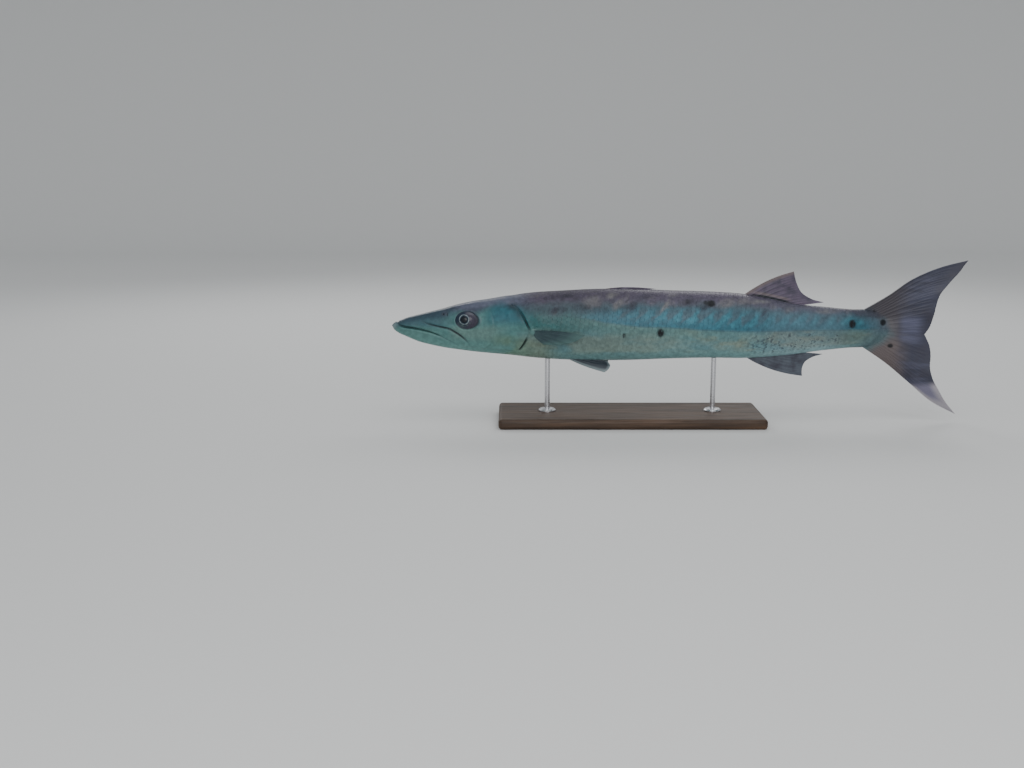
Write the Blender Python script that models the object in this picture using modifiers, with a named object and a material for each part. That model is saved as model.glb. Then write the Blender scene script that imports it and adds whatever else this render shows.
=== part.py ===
"""A life-size great barracuda, swimming level, on a plain display stand.

Metres, +Z up. The fish lies along X with its snout towards -X, its left side faces -Y, and the
stand's base rests on Z = 0 under the middle of the length. Lengths along the fish are measured
from the tip of the lower jaw, and heights from the level of that tip.
"""

import bmesh
import bpy
import numpy as np
from mathutils import Vector

# Driving dimensions
LENGTH = 0.992            # tip of the lower jaw to the tip of the upper tail lobe
GAP = 0.0003              # kept between pieces that touch
FLOOR_CLEARANCE = 0.012   # under the lower tail lobe
LOW_TAIL_TIP = 0.158      # how far the lower tail lobe hangs below the jaw tip
JAW_HEIGHT = LOW_TAIL_TIP + FLOOR_CLEARANCE
ORIGIN = Vector((-LENGTH / 2, 0.0, JAW_HEIGHT))

OUTSIDE = 0.09            # clear of the head on every side, for cutters
SIDES_AROUND = 32
HEAD_STEP, TRUNK_STEP = 0.0095, 0.022
HEAD_END, FRONT_END, MIDDLE_END, REAR_END, STEM_END = 0.246, 0.336, 0.590, 0.722, 0.866

# distance from the jaw tip, back height, belly height, half width, squareness of the section
STATIONS = np.array([
    (0.000, 0.0012, -0.0022, 0.0022, 2.0),
    (0.004, 0.0040, -0.0078, 0.0060, 2.1),
    (0.010, 0.0062, -0.0125, 0.0088, 2.2),
    (0.024, 0.0125, -0.0195, 0.0118, 2.3),
    (0.046, 0.0189, -0.0290, 0.0148, 2.4),
    (0.068, 0.0245, -0.0348, 0.0176, 2.5),
    (0.090, 0.0301, -0.0394, 0.0205, 2.5),
    (0.112, 0.0365, -0.0427, 0.0238, 2.5),
    (0.140, 0.0425, -0.0464, 0.0278, 2.4),
    (0.170, 0.0468, -0.0494, 0.0330, 2.3),
    (0.205, 0.0525, -0.0525, 0.0385, 2.2),
    (0.245, 0.0574, -0.0567, 0.0430, 2.2),
    (0.290, 0.0602, -0.0600, 0.0455, 2.1),
    (0.345, 0.0630, -0.0618, 0.0475, 2.1),
    (0.414, 0.0635, -0.0612, 0.0480, 2.1),
    (0.480, 0.0608, -0.0588, 0.0468, 2.1),
    (0.555, 0.0585, -0.0574, 0.0440, 2.1),
    (0.610, 0.0545, -0.0580, 0.0400, 2.1),
    (0.655, 0.0470, -0.0555, 0.0350, 2.1),
    (0.695, 0.0380, -0.0515, 0.0300, 2.1),
    (0.750, 0.0322, -0.0445, 0.0245, 2.1),
    (0.796, 0.0280, -0.0400, 0.0205, 2.1),
    (0.822, 0.0275, -0.0388, 0.0170, 2.0),
    (0.845, 0.0235, -0.0335, 0.0110, 2.0),
    (0.858, 0.0140, -0.0230, 0.0062, 2.0),
    (0.866, 0.0010, -0.0090, 0.0030, 2.0),
])

# Side-view outlines on the head
MOUTH_LINE = [(0.0118, 0.0030), (0.022, -0.0010), (0.044, -0.0045), (0.066, -0.0108),
              (0.083, -0.0172), (0.099, -0.0262), (0.118, -0.0345), (0.137, -0.0415)]
MOUTH_OPENING = 0.0026    # at the front, closing to a touch at the corner
MOUTH_CORNER = 0.088
THROAT = (0.152, -0.060)
GILL_SLIT = [(0.2005, 0.0382), (0.2115, 0.0362), (0.2195, 0.0315), (0.2260, 0.0245),
             (0.2320, 0.0140), (0.2370, 0.0035), (0.2400, -0.0035), (0.2375, -0.0100),
             (0.2335, -0.0185), (0.2285, -0.0270), (0.2225, -0.0350), (0.2165, -0.0402)]
NAPE, ISTHMUS = 0.186, 0.206   # where the head's rear edge meets the back and the belly
GILL_COVER_FRONT = [(0.2040, -0.0415), (0.1900, -0.0372), (0.1800, -0.0260), (0.1755, -0.0100),
                    (0.1760, 0.0100), (0.1800, 0.0260), (0.1880, 0.0355)]
MAXILLA = [(0.0512, 0.0084), (0.0720, 0.0032), (0.0917, -0.0002), (0.1000, -0.0030),
           (0.1082, -0.0076), (0.1170, -0.0133), (0.1245, -0.0193), (0.1312, -0.0255),
           (0.1365, -0.0330), (0.1350, -0.0375), (0.1290, -0.0352), (0.1170, -0.0285),
           (0.1000, -0.0208), (0.0850, -0.0135), (0.0680, -0.0062), (0.0520, -0.0010)]
PLATE_PROUD, PLATE_DEPTH = 0.0010, 0.0035

EYE = (0.1313, 0.0122)
EYE_RADII = (0.0226, 0.0105, 0.0180)
EYE_BULGE = 0.0028
PUPIL = (0.1262, 0.0133)
PUPIL_RADII = (0.0085, 0.0035, 0.0085)
PUPIL_BULGE = 0.0013      # how far the pupil's dome stands out of the eyeball
ORBIT_RIM, ORBIT_SINK = 0.0026, 0.0014
NOSTRILS = [((0.0905, 0.0190), (0.0016, 0.0030, 0.0013)),
            ((0.0965, 0.0203), (0.0012, 0.0030, 0.0024))]

# Stand
BASE_SIZE = Vector((0.460, 0.150, 0.018))
BASE_CENTRE = 0.415
BASE_ROUNDING = 0.006
ROD_PLACES = {"stand_rod_front": 0.270, "stand_rod_rear": 0.560}
ROD_RADIUS, FOOT_RADIUS, FOOT_HEIGHT = 0.0045, 0.0150, 0.0050
ROD_SINK = 0.012



def clear_scene():
    for obj in list(bpy.data.objects):
        bpy.data.objects.remove(obj)


def collection(name, hidden=False):
    made = bpy.data.collections.new(name)
    made.hide_render = hidden
    bpy.context.scene.collection.children.link(made)
    return made


def material(name, colour, roughness=0.45, metallic=0.0):
    made = bpy.data.materials.new(name)
    made.use_nodes = True
    shader = made.node_tree.nodes["Principled BSDF"]
    shader.inputs["Base Color"].default_value = (*colour, 1.0)
    shader.inputs["Roughness"].default_value = roughness
    shader.inputs["Metallic"].default_value = metallic
    return made


clear_scene()
FISH = collection("barracuda")
CUTTERS = collection("cutters", hidden=True)
SKIN_PAINT = material("skin", (0.115, 0.270, 0.275), roughness=0.40)
FIN_PAINT = material("fin", (0.150, 0.160, 0.190), roughness=0.50)
EYE_PAINT = material("eye", (0.30, 0.32, 0.30), roughness=0.12)
WOOD = material("stand_wood", (0.075, 0.045, 0.030), roughness=0.35)
STEEL = material("stand_steel", (0.60, 0.60, 0.62), roughness=0.28, metallic=1.0)


def smooth_curve(x, y, at):
    """y at the given places on a smooth curve through the points (x, y)."""
    slope = np.gradient(y, x)
    i = np.clip(np.searchsorted(x, at) - 1, 0, len(x) - 2)
    span = x[i + 1] - x[i]
    t = np.clip((at - x[i]) / span, 0.0, 1.0)
    rise = (1 + 2 * t) * (1 - t) ** 2 * y[i] + t * t * (3 - 2 * t) * y[i + 1]
    return rise + t * (1 - t) * span * ((1 - t) * slope[i] - t * slope[i + 1])


def along_outline(points, share):
    """Points of an open outline at shares 0 to 1 of its length, on a smooth curve."""
    points = np.array(points, float)
    walked = np.concatenate([[0], np.cumsum(np.linalg.norm(np.diff(points, axis=0), axis=1))])
    at = np.atleast_1d(share) * walked[-1]
    return np.stack([smooth_curve(walked, points[:, k], at) for k in range(points.shape[1])], axis=1)


def section(distance):
    """Back height, belly height, half width and squareness of the body at a distance."""
    return [float(smooth_curve(STATIONS[:, 0], STATIONS[:, k], distance)) for k in range(1, 5)]


def half_width_at(distance, height):
    """How far the body's side stands from the middle plane at a distance and a height."""
    back, belly, half_width, squareness = section(distance)
    middle, half_height = (back + belly) / 2, (back - belly) / 2
    level = min(abs(height - middle) / half_height, 1.0)
    return half_width * (1 - level ** squareness) ** (1 / squareness)


def ring(distance, grow):
    back, belly, half_width, squareness = section(distance)
    middle, half_height = (back + belly) / 2, (back - belly) / 2 + grow
    angle = np.arange(SIDES_AROUND) * 2 * np.pi / SIDES_AROUND
    power = 2 / squareness
    across = (half_width + grow) * np.sign(np.cos(angle)) * np.abs(np.cos(angle)) ** power
    up = half_height * np.sign(np.sin(angle)) * np.abs(np.sin(angle)) ** power
    return [ORIGIN + Vector((distance, y, middle + z)) for y, z in zip(across, up)]


def ring_places(start, end):
    """Places of the rings from start to end, closer together on the head and at both tips."""
    nose = [0.0, 0.0015, 0.004, 0.0075, 0.0115]
    head = list(np.arange(0.018, HEAD_END, HEAD_STEP))
    trunk = list(np.arange(HEAD_END, 0.82, TRUNK_STEP))
    stem = [0.832, 0.842, 0.850, 0.857, 0.862]
    inside = [p for p in nose + head + trunk + stem if start + 0.0012 < p < end - 0.0012]
    return [start] + inside + [end]


def loft(name, start, end, grow=0.0, into=FISH, paint=SKIN_PAINT):
    """A closed length of the body, grown outwards by the given amount."""
    mesh = bmesh.new()
    rings = [[mesh.verts.new(p) for p in ring(place, grow)] for place in ring_places(start, end)]
    for near, far in zip(rings, rings[1:]):
        for k in range(SIDES_AROUND):
            after = (k + 1) % SIDES_AROUND
            mesh.faces.new((near[k], near[after], far[after], far[k]))
    mesh.faces.new(rings[0])
    mesh.faces.new(rings[-1])
    return finished(name, mesh, into, paint)


def finished(name, mesh, into=FISH, paint=SKIN_PAINT):
    """The bmesh as an object with its faces turned out and its round parts shaded smooth."""
    mesh.normal_update()
    bmesh.ops.recalc_face_normals(mesh, faces=mesh.faces)
    data = bpy.data.meshes.new(name)
    mesh.to_mesh(data)
    mesh.free()
    data.materials.append(paint)
    data.shade_smooth()
    data.set_sharp_from_angle(angle=np.radians(35))
    obj = bpy.data.objects.new(name, data)
    into.objects.link(obj)
    if into is CUTTERS:
        obj.hide_render = True
        obj.display_type = "WIRE"
    return obj


def cut(obj, cutter, operation="DIFFERENCE"):
    modifier = obj.modifiers.new(operation.lower(), "BOOLEAN")
    modifier.operation = operation
    modifier.solver = "EXACT"
    modifier.object = cutter
    return obj


def grown_outline(outline, by):
    """A closed side-view outline with each point moved outwards."""
    points = np.array(outline, float)
    tangent = np.roll(points, -1, axis=0) - np.roll(points, 1, axis=0)
    tangent /= np.linalg.norm(tangent, axis=1)[:, None]
    outward = np.stack([tangent[:, 1], -tangent[:, 0]], axis=1)
    x, z = points.T
    turns_left = np.sum(x * np.roll(z, -1) - np.roll(x, -1) * z) > 0
    return points + by * (outward if turns_left else -outward)


def rounded(points, count):
    """An open outline drawn again with count points on a smooth curve."""
    return [tuple(point) for point in along_outline(points, np.linspace(0, 1, count))]


def side_prism(name, outline, near, far):
    """A cutter: a side-view outline carried across from Y = near to Y = far."""
    mesh = bmesh.new()
    face = mesh.faces.new([mesh.verts.new(ORIGIN + Vector((x, near, z))) for x, z in outline])
    pulled = bmesh.ops.extrude_face_region(mesh, geom=[face])
    moved = [v for v in pulled["geom"] if isinstance(v, bmesh.types.BMVert)]
    bmesh.ops.translate(mesh, verts=moved, vec=(0, far - near, 0))
    return finished(name, mesh, CUTTERS)


def ellipsoid(name, centre, radii, into=CUTTERS, paint=SKIN_PAINT, u=20, v=12):
    """An ellipsoid whose poles point across the fish."""
    mesh = bmesh.new()
    bmesh.ops.create_uvsphere(mesh, u_segments=u, v_segments=v, radius=1.0)
    for vert in mesh.verts:
        x, y, z = vert.co
        vert.co = ORIGIN + Vector(centre) + Vector((x * radii[0], z * radii[1], y * radii[2]))
    return finished(name, mesh, into, paint)


# Head: the skull, the lower jaw, the two jaw plates, the gill covers and the eyes
def jaw_outline(opening):
    """The side view of the lower jaw. A positive opening raises its upper edge to the upper lip."""
    lip = [(x, z + opening * max(1 - x / MOUTH_CORNER, 0.0)) for x, z in MOUTH_LINE]
    over = [(-OUTSIDE, OUTSIDE), (lip[0][0], OUTSIDE)]
    return over + lip + [THROAT, (THROAT[0], -OUTSIDE), (-OUTSIDE, -OUTSIDE)]


def head_region():
    """Everything ahead of the gill slit, as a side-view outline."""
    over = [(-OUTSIDE, OUTSIDE), (NAPE, OUTSIDE)]
    return over + rounded(GILL_SLIT, 18) + [(ISTHMUS, -OUTSIDE), (-OUTSIDE, -OUTSIDE)]


def cheek_plate(name, outline, side):
    """A thin bone plate that follows the head's surface, and the cutter for its recess."""
    near, far = PLATE_DEPTH * side, OUTSIDE * side
    plate = loft(name, 0.0, HEAD_END, grow=PLATE_PROUD)
    cut(plate, side_prism(name + "_outline", outline, near, far), "INTERSECT")
    cut(plate, loft(name + "_back", 0.0, HEAD_END, -PLATE_DEPTH, CUTTERS))
    recess = side_prism(name + "_recess", grown_outline(outline, GAP), near, far)
    cut(recess, loft(name + "_floor", 0.0, HEAD_END, -PLATE_DEPTH - GAP, CUTTERS))
    return recess


def build_head():
    whole_jaw = side_prism("jaw_region", jaw_outline(0.0), -OUTSIDE, OUTSIDE)
    opened_jaw = grown_outline(jaw_outline(MOUTH_OPENING), GAP)
    mouth = side_prism("mouth_region", opened_jaw, -OUTSIDE, OUTSIDE)
    ahead = side_prism("head_region", head_region(), -OUTSIDE, OUTSIDE)
    jaw = cut(loft("lower_jaw", 0.0, HEAD_END), whole_jaw, "INTERSECT")
    head = cut(loft("head", 0.0, HEAD_END), mouth)
    cut(head, ahead, "INTERSECT")
    cover_front = rounded(GILL_SLIT[-1:] + GILL_COVER_FRONT + GILL_SLIT[:1], 14)
    gill_outline = rounded(GILL_SLIT, 18) + cover_front[1:-1]
    maxilla_outline = rounded(MAXILLA + MAXILLA[:1], 31)[:-1]
    for side, word in ((-1, "left"), (1, "right")):
        reach = half_width_at(*EYE) + EYE_BULGE
        depth = reach - EYE_RADII[1]
        centre = (EYE[0], side * depth, EYE[1])
        rim_radii = [r + ORBIT_RIM for r in EYE_RADII]
        rim_centre = (EYE[0], side * (depth - ORBIT_RIM - ORBIT_SINK), EYE[1])
        cut(head, ellipsoid("orbit_rim_" + word, rim_centre, rim_radii), "UNION")
        cut(head, ellipsoid("eye_socket_" + word, centre, [r + GAP for r in EYE_RADII]))
        eye = ellipsoid("eye_" + word, centre, EYE_RADII, FISH, EYE_PAINT)
        dome = (PUPIL[0], side * (reach + PUPIL_BULGE - PUPIL_RADII[1]), PUPIL[1])
        cut(eye, ellipsoid("pupil_" + word, dome, PUPIL_RADII, u=16, v=8), "UNION")
        for n, (place, radii) in enumerate(NOSTRILS):
            at = (place[0], side * half_width_at(*place), place[1])
            cut(head, ellipsoid(f"nostril_{n}_{word}", at, radii, u=8, v=6))
        cut(head, cheek_plate("gill_cover_" + word, gill_outline, side))
        recess = cheek_plate("upper_jaw_plate_" + word, maxilla_outline, side)
        cut(head, recess)
        cut(jaw, recess)


def build_trunk():
    """The body behind the gill slit, parted into four lengths."""
    front = loft("body_front", NAPE + 0.004, FRONT_END)
    gill_region = side_prism("gill_region", grown_outline(head_region(), GAP), -OUTSIDE, OUTSIDE)
    cut(front, gill_region)
    loft("body_middle", FRONT_END + GAP, MIDDLE_END)
    loft("body_rear", MIDDLE_END + GAP, REAR_END)
    loft("tail_stem", REAR_END + GAP, STEM_END)


# Fins: a membrane between a root line and an edge line, with each ray a ridge in its surface
STRAIGHT = (0.0, 0.0, 0.0)
THINNEST = 0.0006         # of any membrane


def fin(name, place, turn, root, edge, rays, thickness, bends=(STRAIGHT, STRAIGHT), sway=0.0,
        steps=7, notch=0.010, webbing=0.42, tip_share=0.22):
    """A fin in its own plane, X along the fish and Z up, set at a place and turned.

    bends are how far the first and last rays stand off the straight line at each quarter of
    their length, and sway is how far the trailing edge leans sideways.
    """
    columns = 2 * rays - 1
    mesh = bmesh.new()
    bmesh.ops.create_grid(mesh, x_segments=columns - 1, y_segments=steps, size=0.5)
    mesh.verts.ensure_lookup_table()
    u = np.array([v.co.x + 0.5 for v in mesh.verts])
    v = np.array([v.co.y + 0.5 for v in mesh.verts])
    between = np.round(u * (columns - 1)).astype(int) % 2
    start, end = along_outline(root, u), along_outline(edge, u)
    end = start + (end - start) * (1 - notch * between)[:, None]
    ray = end - start
    normal = np.stack([-ray[:, 1], ray[:, 0]], axis=1)
    normal /= np.linalg.norm(normal, axis=1)[:, None]
    quarters = np.linspace(0, 1, 5)
    first, last = [smooth_curve(quarters, np.array([0, *bend, 0]), v) for bend in bends]
    bow = first * (1 - u) ** 2 + last * u ** 2
    point = start + ray * v[:, None] + normal * bow[:, None]
    lean = sway * v * v * np.sin(np.pi * (0.15 + 0.85 * u))
    for vert, (x, z), y in zip(mesh.verts, point, lean):
        vert.co = (x, y, z)
    share = np.where(between == 1, webbing, 1.0) * (1 - (1 - tip_share) * v ** 0.8)
    bmesh.ops.triangulate(mesh, faces=mesh.faces)
    data = bpy.data.meshes.new(name)
    mesh.to_mesh(data)
    mesh.free()
    data.materials.append(FIN_PAINT)
    data.shade_smooth()
    obj = bpy.data.objects.new(name, data)
    FISH.objects.link(obj)
    obj.location = ORIGIN + Vector(place)
    obj.rotation_euler = np.radians(turn)
    group = obj.vertex_groups.new(name="thickness")
    thinnest = THINNEST / thickness
    for index, weight in enumerate(share):
        group.add([index], max(float(weight), thinnest), "REPLACE")
    solid = obj.modifiers.new("rays", "SOLIDIFY")
    solid.thickness = thickness
    solid.offset = 0.0
    solid.vertex_group = group.name
    cut(obj, BODY_CLEARANCE)
    return obj


def back_at(distance, sink):
    return section(distance)[0] - sink


def belly_at(distance, sink):
    return section(distance)[1] + sink


def build_fins():
    first = [(x, back_at(x, 0.004)) for x in (0.346, 0.366, 0.386, 0.402)]
    fin("first_dorsal_fin", (0, 0, 0), (0, 0, 0), first,
        [(0.398, 0.0660), (0.424, 0.0657), (0.442, 0.0643), (0.458, 0.0630)],
        rays=5, thickness=0.0036, bends=((0.0008, 0.0010, 0.0008), STRAIGHT), steps=6)
    second = [(x, back_at(x, 0.006)) for x in (0.604, 0.634, 0.664, 0.692)]
    fin("second_dorsal_fin", (0, 0, 0), (0, 0, 0), second,
        [(0.6945, 0.0930), (0.7000, 0.0740), (0.7100, 0.0560), (0.7260, 0.0455), (0.7480, 0.0395)],
        rays=10, thickness=0.0032, bends=((0.0038, 0.0055, 0.0042), STRAIGHT), sway=0.006)
    anal = [(x, belly_at(x, 0.006)) for x in (0.608, 0.636, 0.664, 0.692)]
    fin("anal_fin", (0, 0, 0), (0, 0, 0), anal,
        [(0.7160, -0.0905), (0.7165, -0.0760), (0.7220, -0.0650), (0.7340, -0.0570), (0.7500, -0.0510)],
        rays=10, thickness=0.0032, bends=((-0.0050, -0.0068, -0.0050), STRAIGHT), sway=0.006)
    for side, word in ((-1, "left"), (1, "right")):
        fin("pectoral_fin_" + word, (0.2424, side * 0.0408, -0.0035), (0, 0, side * 17.0),
            [(0.0000, 0.0000), (0.0012, -0.0030), (0.0026, -0.0060), (0.0040, -0.0092)],
            [(0.0940, -0.0035), (0.0820, -0.0125), (0.0620, -0.0195), (0.0380, -0.0225),
             (0.0215, -0.0235)],
            rays=12, thickness=0.0026, bends=((0.0016, 0.0022, 0.0016), (-0.0008, -0.0010, -0.0008)),
            sway=side * 0.005, steps=6)
        fin("pelvic_fin_" + word, (0.3040, side * 0.0140, -0.0560), (side * 28.0, 0, 0),
            [(0.0000, 0.0000), (0.0050, 0.0005), (0.0100, 0.0008), (0.0160, 0.0010)],
            [(0.0570, -0.0258), (0.0635, -0.0215), (0.0680, -0.0150), (0.0635, -0.0075),
             (0.0560, -0.0042)],
            rays=6, thickness=0.0026, bends=((-0.0015, -0.0020, -0.0015), (0.0008, 0.0010, 0.0008)),
            sway=side * 0.003, steps=6)


def build_tail_fin():
    """The two lobes of the tail fin, which meet at the middle of the fork."""
    middle = (0.828, -0.0060)
    fin("tail_fin_upper", (0, 0, 0), (0, 0, 0),
        [(0.818, 0.0262), (0.825, 0.0160), (0.828, 0.0050), (middle[0], middle[1] + GAP)],
        [(0.9916, 0.1128), (0.9750, 0.0915), (0.9570, 0.0705), (0.9460, 0.0560), (0.9405, 0.0360),
         (0.9370, 0.0150), (0.9325, -0.0040), (0.9250, -0.0160 + GAP)],
        rays=11, thickness=0.0062, bends=((0.0040, 0.0118, 0.0098), STRAIGHT), sway=-0.010,
        steps=10, tip_share=0.14)
    fin("tail_fin_lower", (0, 0, 0), (0, 0, 0),
        [middle, (0.828, -0.0160), (0.824, -0.0270), (0.816, -0.0372)],
        [(0.9250, -0.0160), (0.9330, -0.0330), (0.9365, -0.0520), (0.9360, -0.0750),
         (0.9410, -0.0930), (0.9500, -0.1090), (0.9650, -0.1330), (0.9867, -0.1580)],
        rays=11, thickness=0.0062, bends=(STRAIGHT, (0.0012, -0.0024, -0.0065)), sway=-0.010,
        steps=10, tip_share=0.14)


def build_stand():
    bpy.ops.mesh.primitive_cube_add(size=1)
    base = bpy.context.object
    base.name = "stand_base"
    for vert in base.data.vertices:
        vert.co = Vector(a * b for a, b in zip(vert.co, BASE_SIZE))
    base.location = (ORIGIN.x + BASE_CENTRE, 0.0, BASE_SIZE.z / 2)
    base.data.materials.append(WOOD)
    rounding = base.modifiers.new("rounding", "BEVEL")
    rounding.width = BASE_ROUNDING
    rounding.segments = 3
    for owner in base.users_collection:
        owner.objects.unlink(base)
    FISH.objects.link(base)
    for name, place in ROD_PLACES.items():
        rod(name, place)


def rod(name, place):
    """A turned rod with a low foot. Its top follows the belly that it carries."""
    foot = BASE_SIZE.z + GAP
    top = ORIGIN.z + belly_at(place, ROD_SINK)
    profile = [(0.0, top), (ROD_RADIUS, top), (ROD_RADIUS, foot + FOOT_HEIGHT),
               (FOOT_RADIUS - 0.002, foot + FOOT_HEIGHT - 0.001), (FOOT_RADIUS, foot + 0.002),
               (FOOT_RADIUS, foot), (0.0, foot)]
    data = bpy.data.meshes.new(name)
    data.from_pydata([(r, 0.0, z) for r, z in profile], [(k, k + 1) for k in range(6)], [])
    data.materials.append(STEEL)
    obj = bpy.data.objects.new(name, data)
    FISH.objects.link(obj)
    obj.location = (ORIGIN.x + place, 0.0, 0.0)
    turned = obj.modifiers.new("turned", "SCREW")
    turned.steps = turned.render_steps = 28
    turned.use_merge_vertices = True
    turned.merge_threshold = 0.00005
    cut(obj, BODY_CLEARANCE)


BODY_CLEARANCE = loft("body_clearance", 0.0, STEM_END, GAP, CUTTERS)
build_head()
build_trunk()
build_fins()
build_tail_fin()
build_stand()
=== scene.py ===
# %% [markdown]
# # A life-size great barracuda on its display stand
#
# The fish was modelled as plain solids: a head, a lower jaw, four lengths of body, and one solid
# for each fin. Here those solids become the frame for the finished model. One skin covers the
# head and body without a seam, thousands of thin scales lie over it, and each fin is made again
# with its own branching rays. The fish's solids stay where they are and are only hidden. Those
# of the stand are shown, with a finish of their own.

import bpy
import numpy as np
from mathutils import Euler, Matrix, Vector


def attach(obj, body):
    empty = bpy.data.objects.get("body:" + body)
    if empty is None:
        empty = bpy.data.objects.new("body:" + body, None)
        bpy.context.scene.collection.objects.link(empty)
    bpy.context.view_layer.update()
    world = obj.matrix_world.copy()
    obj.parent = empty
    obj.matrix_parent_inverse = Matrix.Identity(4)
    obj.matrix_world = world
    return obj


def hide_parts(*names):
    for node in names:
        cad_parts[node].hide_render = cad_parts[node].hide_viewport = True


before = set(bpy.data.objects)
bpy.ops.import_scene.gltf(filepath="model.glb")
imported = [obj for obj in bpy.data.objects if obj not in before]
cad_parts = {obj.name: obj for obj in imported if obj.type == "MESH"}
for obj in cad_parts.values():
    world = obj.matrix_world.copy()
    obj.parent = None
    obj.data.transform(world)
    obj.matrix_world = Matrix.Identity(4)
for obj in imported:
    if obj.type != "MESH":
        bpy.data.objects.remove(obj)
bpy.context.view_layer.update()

# %% [markdown]
# Every measure below is in the fish's own coordinates: the distance back from the tip of the
# lower jaw, the distance from the middle plane, and the height over the tip. One vector turns
# these into places in the world, where the snout points towards -X and the stand rests on Z = 0.

# %% Where the fish is
JAW_TIP = np.array([-0.496, 0.0, 0.170])

# %% [markdown]
# The camera comes first, because everything is seen through it. The photograph looks at the
# left side square on, from a little above. A 45 mm lens tipped down by eleven degrees gives the
# same outline in the same place of the frame.

# %% Camera
CAMERA_PLACE = (0.2082, -2.2, 0.3233)
CAMERA_LENS, CAMERA_TURN = 45.0, 79.0
camera = bpy.data.objects.new("camera", bpy.data.cameras.new("camera"))
camera.data.sensor_width = 36.0
camera.data.lens = CAMERA_LENS
camera.location = JAW_TIP + CAMERA_PLACE
camera.rotation_euler = (np.radians(CAMERA_TURN), 0.0, 0.0)
bpy.context.scene.collection.objects.link(camera)
bpy.context.scene.camera = camera
print("camera height, m:", round(camera.location.z, 3))

# %% [markdown]
# A studio sheet is a floor that curves up into a wall, so that no horizon line crosses the
# picture. It is one strip of profile points pulled sideways. Large area lights give the soft
# shadows of daylight from above, with a little more from the camera's side.

# %% Floor, backdrop and lights
SHEET_FRONT, SHEET_DEPTH, SHEET_HEIGHT, SHEET_BEND, SHEET_WIDTH = -4.0, 3.2, 3.0, 1.2, 12.0
PAPER_GREY, PAPER_ROUGHNESS = (0.62, 0.62, 0.61, 1.0), 0.9
ROOM_COLOUR, ROOM_STRENGTH = (0.84, 0.87, 0.90, 1.0), 0.75
# name, place, the point it aims at, size, power
LIGHTS = [("light_above", (0.10, -0.8, 2.3), (0.0, 0.0, 0.15), 1.8, 12.0),
          ("light_camera_side", (-0.15, -2.6, 0.8), (0.0, 0.0, 0.15), 1.6, 27.0),
          ("light_behind", (0.6, 1.6, 1.5), (0.0, 0.0, 0.2), 1.2, 10.0),
          ("light_behind_head", (-1.0, 1.6, 1.3), (-0.35, 0.0, 0.18), 0.9, 7.0)]


def studio_sheet():
    turn = np.linspace(0, np.pi / 2, 24)
    bend_y = SHEET_DEPTH + SHEET_BEND * np.sin(turn)
    bend_z = SHEET_BEND * (1 - np.cos(turn))
    profile = [(SHEET_FRONT, 0.0), *zip(bend_y, bend_z), (SHEET_DEPTH + SHEET_BEND, SHEET_HEIGHT)]
    points = [(x, y, z) for y, z in profile for x in (-SHEET_WIDTH / 2, SHEET_WIDTH / 2)]
    faces = [(2 * k, 2 * k + 1, 2 * k + 3, 2 * k + 2) for k in range(len(profile) - 1)]
    data = bpy.data.meshes.new("studio_sheet")
    data.from_pydata(points, [], faces)
    data.shade_smooth()
    paper = bpy.data.materials.new("pale_paper")
    paper.use_nodes = True
    shader = paper.node_tree.nodes["Principled BSDF"]
    shader.inputs["Base Color"].default_value = PAPER_GREY
    shader.inputs["Roughness"].default_value = PAPER_ROUGHNESS
    data.materials.append(paper)
    sheet = bpy.data.objects.new("studio_sheet", data)
    bpy.context.scene.collection.objects.link(sheet)


def area_light(name, place, aim, size, power):
    light = bpy.data.lights.new(name, "AREA")
    light.shape = "DISK"
    light.size = size
    light.energy = power
    lamp = bpy.data.objects.new(name, light)
    lamp.location = place
    lamp.rotation_euler = (Vector(aim) - Vector(place)).to_track_quat("-Z", "Y").to_euler()
    bpy.context.scene.collection.objects.link(lamp)


studio_sheet()
for light_row in LIGHTS:
    area_light(*light_row)
world = bpy.data.worlds.new("pale_room")
world.use_nodes = True
world.node_tree.nodes["Background"].inputs["Color"].default_value = ROOM_COLOUR
world.node_tree.nodes["Background"].inputs["Strength"].default_value = ROOM_STRENGTH
bpy.context.scene.world = world

# %% [markdown]
# ## The shape of the body
#
# A fish's body is a loft: a row of cross-sections, each with its own back height, belly height
# and width. Barracudas are nearly round in section, so each section here is a superellipse, and
# the last number says how square it is. Smooth curves through the stations give every section
# between them.

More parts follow.
